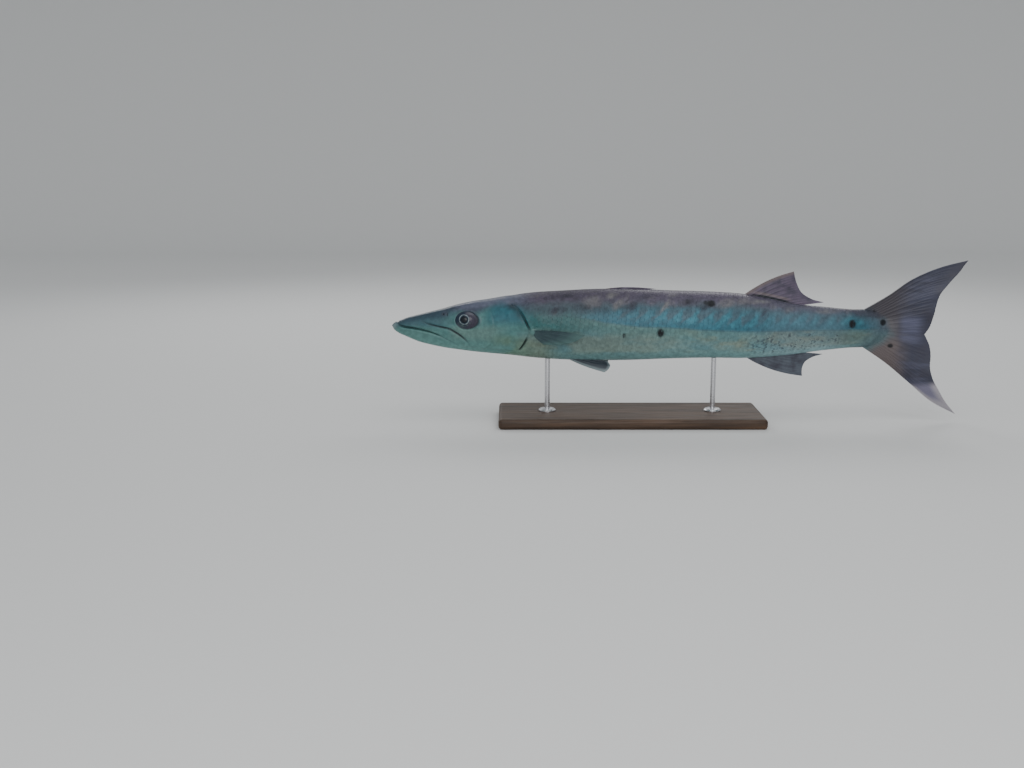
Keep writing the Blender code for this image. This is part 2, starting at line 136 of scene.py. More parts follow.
# %% Stations of the body
# distance from the jaw tip, back height, belly height, half width, squareness of the section
STATIONS = np.array([
    (0.000, 0.0012, -0.0022, 0.0022, 2.0), (0.004, 0.0040, -0.0078, 0.0060, 2.1),
    (0.010, 0.0062, -0.0125, 0.0088, 2.2), (0.024, 0.0125, -0.0195, 0.0118, 2.3),
    (0.046, 0.0189, -0.0290, 0.0148, 2.4), (0.068, 0.0245, -0.0348, 0.0176, 2.5),
    (0.090, 0.0301, -0.0394, 0.0205, 2.5), (0.112, 0.0365, -0.0427, 0.0238, 2.5),
    (0.140, 0.0425, -0.0464, 0.0278, 2.4), (0.170, 0.0468, -0.0494, 0.0330, 2.3),
    (0.205, 0.0525, -0.0525, 0.0385, 2.2), (0.245, 0.0574, -0.0567, 0.0430, 2.2),
    (0.290, 0.0602, -0.0600, 0.0455, 2.1), (0.345, 0.0630, -0.0618, 0.0475, 2.1),
    (0.414, 0.0635, -0.0612, 0.0480, 2.1), (0.480, 0.0608, -0.0588, 0.0468, 2.1),
    (0.555, 0.0585, -0.0574, 0.0440, 2.1), (0.610, 0.0545, -0.0580, 0.0400, 2.1),
    (0.655, 0.0470, -0.0555, 0.0350, 2.1), (0.695, 0.0380, -0.0515, 0.0300, 2.1),
    (0.750, 0.0322, -0.0445, 0.0245, 2.1), (0.796, 0.0280, -0.0400, 0.0205, 2.1),
    (0.822, 0.0275, -0.0388, 0.0170, 2.0), (0.845, 0.0235, -0.0335, 0.0110, 2.0),
    (0.858, 0.0140, -0.0230, 0.0062, 2.0), (0.866, 0.0010, -0.0090, 0.0030, 2.0),
])
BACK, BELLY, HALF_WIDTH, SQUARENESS = 1, 2, 3, 4
BODY_END = STATIONS[-1, 0]


def smooth_curve(x, y, at):
    """y at the given places on a smooth curve through the points (x, y)."""
    slope = np.gradient(y, x)
    i = np.clip(np.searchsorted(x, at) - 1, 0, len(x) - 2)
    span = x[i + 1] - x[i]
    t = np.clip((at - x[i]) / span, 0.0, 1.0)
    rise = (1 + 2 * t) * (1 - t) ** 2 * y[i] + t * t * (3 - 2 * t) * y[i + 1]
    return rise + t * (1 - t) * span * ((1 - t) * slope[i] - t * slope[i + 1])


def station(distance, column):
    return smooth_curve(STATIONS[:, 0], STATIONS[:, column], distance)


def along_line(points, share):
    """Points of a drawn line at shares 0 to 1 of its length, on a smooth curve."""
    points = np.array(points, float)
    walked = np.concatenate([[0], np.cumsum(np.linalg.norm(np.diff(points, axis=0), axis=1))])
    at = np.atleast_1d(share) * walked[-1]
    return np.stack([smooth_curve(walked, points[:, k], at) for k in range(points.shape[1])], axis=-1)


print("body depth at its deepest, mm:", round(1000 * (STATIONS[:, BACK] - STATIONS[:, BELLY]).max()))

# %% [markdown]
# Almost everything on a living body changes softly. These small functions say where something
# starts and ends: a fade is a ramp with rounded ends, between rises and falls again, a bump is
# one smooth hump, and an oval measures how far out from its middle a point lies.

# %% Soft limits
def fade(value, start, end):
    """0 up to start and 1 from end on, smooth between. start may be the larger of the two."""
    t = np.clip((value - start) / (end - start), 0.0, 1.0)
    return t * t * (3 - 2 * t)


def between(value, start, full, past, end):
    """A fade that rises from start to full and falls from past to end."""
    return fade(value, start, full) * fade(value, end, past)


def bump(offset, width, power=2):
    """A smooth hump, 1 at offset 0 and near 0 past the width."""
    return np.exp(-np.abs(offset / width) ** power)


def oval(s, z, centre, radii):
    """Distance from the centre of an ellipse in side view, 1 on its edge."""
    return np.hypot((s - centre[0]) / radii[0], (z - centre[1]) / radii[1])


print("a fade at its quarters:", [float(fade(v, 0.0, 1.0)) for v in (0.25, 0.5, 0.75)])

# %% [markdown]
# The surface function takes a distance along the fish and an angle around it, and gives a
# point. Angle 0 is the right side, a quarter turn is the back, and half a turn is the left side,
# which the camera sees. Behind the snout the skin lies a little over half a millimetre inside
# the solids, which leaves room for the scales.

# %% The body's surface
SKIN_INSET = 0.0006
NOSE_ROUNDING = 0.0035
WEDGE_LENGTH, WEDGE_POWER = 0.024, 0.6
TAIL_BULGE, TAIL_AXIS, TAIL_HALF_DEPTH = 0.021, -0.005, 0.0285
BACK_ANGLE, BELLY_ANGLE = np.pi / 2, -np.pi / 2


def tail_place(s, z):
    """Distance along the tail, curved so that the round end of the flesh is all at BODY_END."""
    return s + TAIL_BULGE * ((z - TAIL_AXIS) / TAIL_HALF_DEPTH) ** 2


def surface(distance, angle):
    """Points of the body at distances along it and angles around it, in fish coordinates."""
    distance, angle = np.broadcast_arrays(np.asarray(distance, float), np.asarray(angle, float))
    back, belly = station(distance, BACK), station(distance, BELLY)
    middle, half_height = (back + belly) / 2, (back - belly) / 2
    blunt = np.clip(distance / NOSE_ROUNDING, 0.0, 1.0)
    shrink = np.sqrt(1 - (1 - blunt) ** 2)
    drawn_in = SKIN_INSET * fade(distance, 0.0, 0.05)
    power = 2 / station(distance, SQUARENESS)
    across, up = np.cos(angle), np.sin(angle)
    y = (station(distance, HALF_WIDTH) - drawn_in) * shrink * np.sign(across) * np.abs(across) ** power
    z = (half_height - drawn_in) * shrink * np.sign(up) * np.abs(up) ** power
    wedge = np.clip((BODY_END + 0.001 - tail_place(distance, middle + z)) / WEDGE_LENGTH, 0.0, 1.0)
    return np.stack([distance, y * wedge ** WEDGE_POWER, middle + z], axis=-1)


def outward(distance, angle, step=0.0008, turn=0.01):
    """The direction straight out of the body's surface at the same places."""
    ahead, behind = surface(distance - step, angle), surface(distance + step, angle)
    lower, higher = surface(distance, angle - turn), surface(distance, angle + turn)
    normal = np.cross(higher - lower, behind - ahead)
    return normal / np.maximum(np.linalg.norm(normal, axis=-1, keepdims=True), 1e-12)


def turned_from(angle, centre):
    """How far each angle is from a centre, the short way round."""
    return np.abs(np.angle(np.exp(1j * (angle - centre))))


print("widest point, mm:", np.round(1000 * surface(0.414, 0.0), 1))

# %% [markdown]
# ## Sculpting the head
#
# The head's features are drawn as lines in side view, like a fish artist's pencil sketch: the
# line of the mouth, the edge of the upper jaw's plate, the gill slit. For each point of the skin
# a helper finds how far above or below a line it lies, and short formulas then press the skin in
# or raise it. This keeps the skin one closed surface, where cutting it with other shapes would
# leave ragged edges.

# %% Distance from a drawn line
def beside(line, s, z, count=48):
    """Signed distance from a line drawn front to back, positive above it, and the share of its
    length where the nearest point lies."""
    points = along_line(line, np.linspace(0, 1, count))
    best = np.full(s.shape, 1e9)
    signed, share = np.zeros(s.shape), np.zeros(s.shape)
    for k, (a, b) in enumerate(zip(points, points[1:])):
        along = b - a
        to_s, to_z = s - a[0], z - a[1]
        t = np.clip((to_s * along[0] + to_z * along[1]) / (along @ along), 0.0, 1.0)
        gap = np.hypot(to_s - t * along[0], to_z - t * along[1])
        nearer = gap < best
        best = np.where(nearer, gap, best)
        turn = np.sign(along[0] * to_z - along[1] * to_s)
        signed = np.where(nearer, gap * turn, signed)
        share = np.where(nearer, (k + t) / (count - 1), share)
    return signed, share


print("5 mm over a level line:", beside([(0, 0), (0.1, 0)], np.array([0.05]), np.array([0.005]))[0])

# %% [markdown]
# A barracuda's mouth is a long straight cut with the lower jaw jutting out in front. The gap is
# a deep, narrow groove that closes towards its corner, with a fleshy lip along each side, and shade
# is painted into it. Behind the corner it goes on as a shallow fold with a little painted shade.
# The line starts on top, because the gap runs round the front of the upper jaw.

# %% Mouth
MOUTH_LINE = [(0.0100, 0.0100), (0.0112, 0.0034), (0.015, 0.0006), (0.022, -0.0016),
              (0.031, -0.0027), (0.041, -0.0043), (0.050, -0.0058), (0.058, -0.0077),
              (0.067, -0.0100), (0.0756, -0.0128), (0.083, -0.0158), (0.093, -0.0212),
              (0.1034, -0.0264), (0.118, -0.0335), (0.130, -0.0390)]
MOUTH_CORNER, FOLD_START, FOLD_END = 0.087, 0.105, 0.120
MOUTH_DEPTH, FOLD_DEPTH, UPPER_LIP, LOWER_LIP, LIP_GAP = 0.0046, 0.0007, 0.0005, 0.0006, 0.0017
# how strongly the shade in the gap is painted, from the front back to the corner
MOUTH_SHADE = ((0.011, 0.026, 0.045, 0.070, 0.085), (0.30, 0.55, 0.55, 0.40, 0.25))


def mouth(s, z):
    """Relief of the mouth, and how much shade is painted into its gap and fold at each point."""
    above, share = beside(MOUTH_LINE, s, z)
    open_part = fade(s, MOUTH_CORNER, MOUTH_CORNER - 0.045)
    gap = bump(above, LIP_GAP * (0.35 + 0.65 * open_part), 4) * fade(s, MOUTH_CORNER, MOUTH_CORNER - 0.010)
    gap = gap * fade(share, -0.06, 0.10)
    shallow = 0.25 + 0.75 * fade(s, 0.011, 0.026)
    fold = bump(above, 0.0013) * fade(s, FOLD_END, FOLD_START) * fade(share, 0.0, 0.1)
    lips = UPPER_LIP * bump(above - 0.0042, 0.0020) + LOWER_LIP * bump(above + 0.0044, 0.0022)
    lift = lips * fade(s, FOLD_START, 0.070) - MOUTH_DEPTH * gap * shallow - FOLD_DEPTH * fold
    return lift, np.maximum(np.interp(s, *MOUTH_SHADE) * gap, 0.25 * fold)


print("mouth, mm long and deep:", round(1000 * MOUTH_CORNER), round(1000 * MOUTH_DEPTH, 1))

# %% [markdown]
# The maxilla is a thin plate of bone that lies along the upper jaw and widens towards its rear
# end under the eye. Only its upper edge reads clearly: a fine groove painted dark with shade, with
# the plate standing a little proud below it.

# %% Upper jaw plate
MAXILLA_EDGE = [(0.0480, 0.0100), (0.0600, 0.0055), (0.0720, 0.0021), (0.0830, -0.0002),
                (0.0917, -0.0018), (0.1000, -0.0036), (0.1082, -0.0080), (0.1170, -0.0133),
                (0.1245, -0.0192), (0.1312, -0.0258), (0.1350, -0.0320), (0.1365, -0.0374)]
MAXILLA_STRENGTH = ((0.0, 0.28, 0.42, 0.60, 0.72, 0.80, 0.90, 1.0),
                    (0.35, 0.75, 1.0, 1.0, 1.0, 0.7, 0.3, 0.1))
MAXILLA_WIDTH, PLATE_RISE, EDGE_DEPTH, EYE_RIDGE = 0.0105, 0.0011, 0.0019, 0.0003


def maxilla(s, z):
    above, share = beside(MAXILLA_EDGE, s, z)
    held = between(share, 0.0, 0.16, 0.90, 1.0)
    strong = np.interp(share, *MAXILLA_STRENGTH)
    edge = bump(above, 0.0009 + 0.0006 * strong, 3) * held * strong
    plate = between(above, -MAXILLA_WIDTH, -0.5 * MAXILLA_WIDTH, -0.0010, 0.0004) * held
    below_eye = bump(above - 0.0050, 0.0034) * held
    # the edge's groove is also painted dark, as shade
    return PLATE_RISE * plate - EDGE_DEPTH * edge + EYE_RIDGE * below_eye, edge


print("upper jaw plate, mm wide:", 1000 * MAXILLA_WIDTH)

# %% [markdown]
# The gill cover is a bony flap. Its free rear edge stands off the body with a slit behind it,
# painted dark with shade, which closes at the top and at the throat. The body behind rises back to
# its full width over a centimetre or two. Ahead of it the cheek ends in a low step.

# %% Gill cover and cheek
GILL_SLIT = [(0.1960, 0.0400), (0.2050, 0.0386), (0.2130, 0.0352), (0.2196, 0.0295),
             (0.2249, 0.0212), (0.2297, 0.0115), (0.2338, 0.0028), (0.2372, -0.0040),
             (0.2350, -0.0100), (0.2314, -0.0186), (0.2268, -0.0275), (0.2230, -0.0340),
             (0.2188, -0.0402)]
GILL_OPEN = ((0.0, 0.08, 0.16, 0.24, 0.32, 0.40, 0.46, 0.57, 0.62, 0.73, 0.79, 0.92, 0.98, 1.0),
             (0.0, 0.05, 0.25, 0.45, 0.55, 0.55, 0.90, 0.75, 0.10, 0.12, 0.90, 0.95, 0.80, 0.1))
GILL_CORNER = ((0.56, 0.62, 0.71, 0.76), (1.0, 0.45, 0.45, 1.0))
CHEEK_EDGE = [(0.166, 0.0330), (0.1735, 0.0200), (0.1765, 0.0040), (0.1765, -0.0130),
              (0.1725, -0.0270), (0.1625, -0.0370), (0.1480, -0.0420)]
FLAP_RISE, SLIT_DEPTH, HOLLOW_DEPTH, CHEEK_STEP, CHEEK_FURROW = 0.0011, 0.0030, 0.0012, 0.0007, 0.0003


def gill(s, z):
    """Relief of the gill cover and of the slit behind it, and the shade painted in the slit."""
    behind, share = beside(GILL_SLIT, s, z)
    held = between(share, 0.0, 0.12, 0.88, 1.0) * np.interp(share, *GILL_CORNER)
    open_most = np.interp(share, *GILL_OPEN)
    flap = between(behind, -0.030, -0.001, 0.0, 0.0008)
    slit = between(behind, -0.0007, 0.0008, 0.0018, 0.0043)
    hollow = between(behind, 0.0, 0.001, 0.004, 0.026)
    lift = FLAP_RISE * flap * held - SLIT_DEPTH * slit * open_most - HOLLOW_DEPTH * hollow * held
    soft_edge = 0.55 * between(behind, -0.0110, -0.0010, 0.0, 0.002) * fade(share, 0.50, 0.32)
    return lift, np.maximum(slit * open_most, soft_edge * held)


def cheek(s, z):
    """The rear edge of the cheek, a low step ahead of the gill cover."""
    behind, share = beside(CHEEK_EDGE, s, z)
    step = between(behind, -0.0120, 0.0, 0.0, 0.0012)
    furrow = bump(behind - 0.0012, 0.0010)
    return (CHEEK_STEP * step - CHEEK_FURROW * furrow) * between(share, 0.0, 0.2, 0.8, 1.0)


print("gill slit, mm from top to throat:", round(1000 * (GILL_SLIT[0][1] - GILL_SLIT[-1][1])))

# %% [markdown]
# The eye sits in a socket in the side of the head, with a thin firm rim. The two nostrils of
# each side are small pits between the eye and the snout. The crown is flat and carries a pair
# of low bony ridges, and the throat has the long folds of the membrane under the gill covers.

# %% Eye socket, nostrils, crown and throat
EYE = (0.1313, 0.0102)
SOCKET, SOCKET_RADII = (0.1313, 0.0109), (0.0196, 0.0150)
SOCKET_DEPTH, SOCKET_RIM = 0.0060, 0.0008
NOSTRILS = [((0.0902, 0.0208), (0.0015, 0.0012)), ((0.0965, 0.0203), (0.0011, 0.0022))]
NOSTRIL_DEPTH, NOSTRIL_RIM = 0.0020, 0.0003
NOSTRIL_DUSK = ((0.093, 0.0215), (0.0080, 0.0050))
CROWN_RIDGE, CROWN_FURROW = 0.0005, 0.0006
THROAT_FOLDS = (0.16, 0.40, 0.66)
THROAT_FOLD, THROAT_SEAM = 0.0006, 0.0008


def socket(s, z):
    far = oval(s, z, SOCKET, SOCKET_RADII)
    return -SOCKET_DEPTH * fade(far, 1.06, 0.86) + SOCKET_RIM * bump(far - 1.13, 0.10)


def orbit(s, z):
    """How much darker the skin is painted round the eye, most behind and above it."""
    behind = fade(s, SOCKET[0], SOCKET[0] + 0.015)
    strength = 0.35 + 0.30 * behind + 0.20 * fade(z, 0.008, 0.020)
    ring = strength * fade(oval(s, z, SOCKET, SOCKET_RADII), 1.16 + 0.14 * behind, 0.98)
    return np.maximum(ring * fade(z, -0.006, 0.008), 0.40 * fade(oval(s, z, *NOSTRIL_DUSK), 1.3, 0.3))


def nostrils(s, z):
    far = [oval(s, z, *nostril) for nostril in NOSTRILS]
    pits = sum(bump(each, 1.0, 3) for each in far)
    rims = sum(bump(each - 1.5, 0.45) for each in far)
    # the pits are also painted dark, as shade
    return NOSTRIL_RIM * rims - NOSTRIL_DEPTH * pits, pits


def crown(s, angle):
    """Two low ridges along the top of the head with a furrow between them."""
    aside = turned_from(angle, BACK_ANGLE)
    ridges = CROWN_RIDGE * bump(aside - 0.42, 0.16) - CROWN_FURROW * bump(aside, 0.22)
    return ridges * between(s, 0.035, 0.070, 0.150, 0.185)


def throat(s, angle):
    """The folds of the gill membrane under the head, and the seam between them."""
    aside = turned_from(angle, BELLY_ANGLE)
    folds = THROAT_FOLD * sum(bump(aside - fold, 0.05) for fold in THROAT_FOLDS)
    seam = THROAT_SEAM * bump(aside, 0.05)
    return -(folds + seam) * between(s, 0.095, 0.140, 0.205, 0.222)


print("eye socket, mm:", [round(2000 * radius, 1) for radius in SOCKET_RADII])

# %% [markdown]
# Each pectoral fin grows from a small fleshy base just behind the gill slit, bare of scales and
# paler than the skin around it. The second dorsal fin can fold down, so its foot lies in a
# shallow groove. From the side the groove reads as a short dark line of painted shade between fin
# and back, with a fold just below it, paler from a painted highlight. A thin painted highlight
# also runs along the fin just over the dark line.

# %% Bases of the fins
FIN_BASE = ((0.2435, -0.0062), (0.0062, 0.0070))
FIN_BASE_RISE = 0.0014
GROOVE_START, GROOVE_END = 0.612, 0.698
GROOVE_DEPTH, GROOVE_FOLD = 0.0005, 0.0006


def base_share(s, z):
    return fade(oval(s, z, *FIN_BASE), 1.15, 0.5)


def along_groove(s, z):
    """1 on the back along the groove, less towards its ends."""
    return between(s, GROOVE_START, GROOVE_START + 0.022, GROOVE_END - 0.020, GROOVE_END) * (z > 0)


def groove(s, y, z):
    """Relief of the groove, and the shade painted at its bottom."""
    fold = bump(np.abs(y) - 0.0075, 0.0030) * along_groove(s, z)
    dark = fade(np.abs(y), 0.0052, 0.0026) * along_groove(s, z)
    return GROOVE_FOLD * fold - GROOVE_DEPTH * dark, 0.85 * dark


print("groove, mm long:", round(1000 * (GROOVE_END - GROOVE_START)))

# %% [markdown]
# Barracudas swim with a lateral line that runs from the top of the gill slit to the tail, and
# the change of colour along it is painted from the same line. The lower edge of the dark back is
# a line too. The round dark blotches and the larger patches of the back have their places in
# side view. The left side follows the photographed fish. The right side has its own blotches,
# because no two sides of a fish are alike.

# %% Lateral line, blotches and patches
LATERAL_LINE = [(0.212, 0.0345), (0.244, 0.0287), (0.332, 0.0173), (0.411, 0.0047), (0.470, 0.0020),
                (0.596, -0.0056), (0.720, -0.0058), (0.862, -0.0054)]
BACK_LINE = np.array([
    (0.000, 0.0020), (0.0234, 0.0082), (0.050, 0.0120), (0.0918, 0.0194), (0.1096, 0.0264),
    (0.150, 0.0270), (0.169, 0.0368), (0.188, 0.0430), (0.203, 0.0413), (0.2185, 0.0374),
    (0.2410, 0.0270), (0.317, 0.0268), (0.358, 0.0303), (0.426, 0.0319), (0.528, 0.0299),
    (0.632, 0.0255), (0.702, 0.0208), (0.772, 0.0182), (0.826, 0.0200), (0.866, 0.0200)])
# each row: centre, radii, strength
LEFT_BLOTCHES = [((0.3988, -0.0120), (0.0024, 0.0046), 0.85), ((0.4611, -0.0070), (0.0056, 0.0070), 1.0),
                 ((0.5473, 0.0415), (0.0066, 0.0052), 1.0), ((0.5385, 0.0430), (0.0040, 0.0030), 0.8),
                 ((0.5085, 0.0450), (0.0050, 0.0036), 0.45), ((0.7937, 0.0043), (0.0056, 0.0070), 1.0),
                 ((0.8500, 0.0052), (0.0056, 0.0052), 0.95), ((0.8660, -0.0362), (0.0048, 0.0034), 0.95),
                 ((0.8349, 0.0252), (0.0022, 0.0020), 0.8)]
RIGHT_BLOTCHES = [((0.4380, -0.0160), (0.0050, 0.0060), 0.8), ((0.5720, 0.0220), (0.0060, 0.0052), 0.9),
                  ((0.6420, -0.0260), (0.0044, 0.0054), 0.7), ((0.7300, 0.0060), (0.0058, 0.0050), 1.0),
                  ((0.8060, -0.0170), (0.0052, 0.0064), 0.9), ((0.8460, 0.0120), (0.0044, 0.0040), 0.8)]
# the same, where a strength below 0 is a dark patch and one above 0 a pale patch
BACK_PATCHES = [((0.262, 0.0560), (0.010, 0.0035), 0.35), ((0.284, 0.0300), (0.014, 0.0060), -0.80),
                ((0.300, 0.0550), (0.015, 0.0050), -0.75), ((0.345, 0.0460), (0.016, 0.0085), 0.60),
                ((0.379, 0.0550), (0.009, 0.0055), 0.95), ((0.388, 0.0400), (0.008, 0.0090), 0.60),
                ((0.414, 0.0380), (0.009, 0.0110), -0.70), ((0.434, 0.0520), (0.011, 0.0060), -0.60),
                ((0.469, 0.0370), (0.0045, 0.0120), 0.85), ((0.482, 0.0545), (0.009, 0.0040), 0.50),
                ((0.508, 0.0430), (0.012, 0.0080), -0.65), ((0.537, 0.0370), (0.010, 0.0080), -0.75),
                ((0.574, 0.0420), (0.015, 0.0080), 0.60), ((0.605, 0.0455), (0.012, 0.0065), 0.55),
                # this long thin pale patch under the second dorsal fin's foot is a painted highlight
                ((0.632, 0.0430), (0.020, 0.0036), 0.90), ((0.640, 0.0270), (0.004, 0.0110), -0.75),
                ((0.684, 0.0290), (0.008, 0.0050), 0.40), ((0.752, 0.0265), (0.020, 0.0045), 0.65)]
PATCH_LEAN, RIGHT_SHIFT = 0.70, 0.017


def strongest(rows, s, z, outer, inner):
    """The strongest of several ovals at each point, each soft from its outer to its inner edge."""
    shares = [strength * fade(oval(s, z, at, size), outer, inner) for at, size, strength in rows]
    return np.max(shares, axis=0)


def patches(s, y, z):
    """How strongly the pale and the dark patches of the back show at each point."""
    shifted = s - RIGHT_SHIFT * (y > 0)
    pale, dark = np.zeros(s.shape), np.zeros(s.shape)
    for at, size, strength in BACK_PATCHES:
        upright = shifted - PATCH_LEAN * (z - at[1])
        share = abs(strength) * fade(oval(upright, z, at, size), 1.45, 0.35)
        pale = np.maximum(pale, share * (strength > 0))
        dark = np.maximum(dark, share * (strength < 0))
    return pale, dark


def blotches(s, y, z):
    """How dark each point is made by the round blotches on its side."""
    left, right = [strongest(rows, s, z, 1.35, 0.70) for rows in (LEFT_BLOTCHES, RIGHT_BLOTCHES)]
    return np.where(y < 0, left, right)


print("blotches, left and right:", len(LEFT_BLOTCHES), len(RIGHT_BLOTCHES))

# %% [markdown]
# ## From grids to meshes
#
# Skin, eyes, scales and fins all begin as grids of points. Their faces follow from the number of
# rows and columns alone, so three short helpers serve every piece: the quads of a grid, the
# points round its edge, and a tube, whose last column joins its first and whose ends are closed.

# %% Faces of a grid
def grid_faces(rows, columns, wraps=False):
    """Quads of a grid, row after row. If it wraps, its last column joins its first."""
    row, column = np.meshgrid(np.arange(rows - 1), np.arange(columns - (not wraps)), indexing="ij")
    after = (column + 1) % columns
    corners = [row * columns + column, row * columns + after, (row + 1) * columns + after,
               (row + 1) * columns + column]
    return np.stack(corners, axis=-1).reshape(-1, 4)


def grid_rim(rows, columns):
    """The points round the edge of a grid, in order."""
    first = [(0, c) for c in range(columns)]
    down = [(r, columns - 1) for r in range(1, rows)]
    last = [(rows - 1, c) for c in range(columns - 2, -1, -1)]
    back_up = [(r, 0) for r in range(rows - 2, 0, -1)]
    return np.array([r * columns + c for r, c in first + down + last + back_up])


def tube_faces(rows, columns):
    """Faces of a grid that wraps round, with a cap on each end."""
    last = (rows - 1) * columns
    caps = [list(range(columns))[::-1], list(range(last, last + columns))]
    return grid_faces(rows, columns, wraps=True).tolist() + caps


print("faces and rim points of a grid of 3 by 4:", len(grid_faces(3, 4)), len(grid_rim(3, 4)))

# %% [markdown]
# Each piece becomes one mesh, which rides on the frame's only body. Its paint masks are stored
# on the same points: how far back each lies, how high, how far over the lateral line, how strongly
# each marking shows there, and how much shade is painted in its creases. Shader nodes can then mix
# the colours by these masks, which stays sharp at any distance and needs no picture.

# %% Meshes and their masks
def mesh_object(name, points, faces, masks, paint):
    """A smooth mesh in the world from points in fish coordinates, with its paint masks."""
    data = bpy.data.meshes.new(name)
    data.from_pydata((points.reshape(-1, 3) + JAW_TIP).tolist(), [], [list(map(int, f)) for f in faces])
    data.shade_smooth()
    for mask, values in masks.items():
        stored = data.attributes.new(mask, "FLOAT", "POINT")
        stored.data.foreach_set("value", np.asarray(values, np.float32).ravel())
    data.materials.append(paint)
    made = bpy.data.objects.new(name, data)
    bpy.context.scene.collection.objects.link(made)
    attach(made, "root")
    return made


def paint_masks(points, dark):
    """The masks that colour a point by its place on the fish."""
    s, y, z = points[..., 0], points[..., 1], points[..., 2]
    back, belly = station(s, BACK), station(s, BELLY)
    level = 2 * (z - belly) / np.maximum(back - belly, 1e-6) - 1
    pale_patch_and_highlight, dark_patch = patches(s, y, z)
    return {
        "along": s,
        "height": z,
        "level": np.clip(level, -1, 1),
        "over_line": beside(LATERAL_LINE, s, z)[0],
        "over_back": z - smooth_curve(BACK_LINE[:, 0], BACK_LINE[:, 1], s),
        "tail_place": tail_place(s, z),
        "pale": base_share(s, z),
        "pale_patch_and_highlight": pale_patch_and_highlight,
        "dark_patch": dark_patch,
        "orbit": orbit(s, z),
        "blotch": blotches(s, y, z),
        # how much shade is painted in the creases
        "dark": dark,
    }


print("masks:", list(paint_masks(surface([MOUTH_CORNER], BACK_ANGLE), 0.0)))

# %% [markdown]
# ## Paint
#
# Each finish is a tree of shader nodes. A small class holds one material and keeps such a tree
# readable: it adds a node, joins values to its sockets and fetches a mask by its name. A ramp
# changes smoothly with a mask or a noise, and a zone is where several ramps overlap. Wherever
# one of these takes a value, the name of a mask will do.

# %% Helpers that add nodes
class ShaderTree:
    """A material and short ways to add nodes to its tree."""

    def __init__(self, name):
        self.material = bpy.data.materials.new(name)
        self.material.use_nodes = True
        self.tree = self.material.node_tree
        self.shader = self.tree.nodes["Principled BSDF"]
        self.place = self.add("ShaderNodeTexCoord").outputs["Object"]
        self.masks = {}

    def add(self, kind, **settings):
        made = self.tree.nodes.new(kind)
        for key, value in settings.items():
            setattr(made, key, value)
        return made

    def mask(self, name):
        """A value stored on the points. Each is fetched once and used again."""
        if name not in self.masks:
            self.masks[name] = self.add("ShaderNodeAttribute", attribute_name=name).outputs["Fac"]
        return self.masks[name]

    def feed(self, socket, value):
        value = self.mask(value) if isinstance(value, str) else value
        if isinstance(value, bpy.types.NodeSocket):
            self.tree.links.new(value, socket)
        else:
            socket.default_value = value

    def math(self, operation, a, b=0.0, c=0.0):
        made = self.add("ShaderNodeMath", operation=operation)
        for socket, value in zip(made.inputs, (a, b, c)):
            self.feed(socket, value)
        return made.outputs[0]

    def plus(self, value, extra, times=1.0):
        """A value with a multiple of another added."""
        return self.math("MULTIPLY_ADD", extra, times, value)

    def ramp(self, value, start, end, low=0.0, high=1.0):
        """A smooth change from low to high as the value goes from start to end."""
        made = self.add("ShaderNodeMapRange", interpolation_type="SMOOTHSTEP")
        for socket, number in zip(made.inputs, (value, start, end, low, high)):
            self.feed(socket, number)
        return made.outputs[0]

    def zone(self, *limits, way="MULTIPLY"):
        """Limits in one: their product, or the largest. A limit is a ramp in brackets or a value."""
        shares = [self.ramp(*limit) if isinstance(limit, tuple) else limit for limit in limits]
        share = shares[0]
        for other in shares[1:]:
            share = self.math(way, share, other)
        return share


print("ways to add nodes:", [word for word in vars(ShaderTree) if not word.startswith("_")])

# %% [markdown]
# The palette adds a painter's words to the tree. Noise gives clouds, streaks and grain, from
# patches as long as a hand down to the finest relief. Coats are tints laid one over another,
# each inside its own zone, the way a painter glazes. The finish joins colour, gloss and relief
# to the shader, and sets the numbers that are the same all over.

# %% Helpers that lay paint
SOCKETS = {"specular": "Specular IOR Level", "coat": "Coat Weight", "coat_roughness": "Coat Roughness",
           "metallic": "Metallic"}


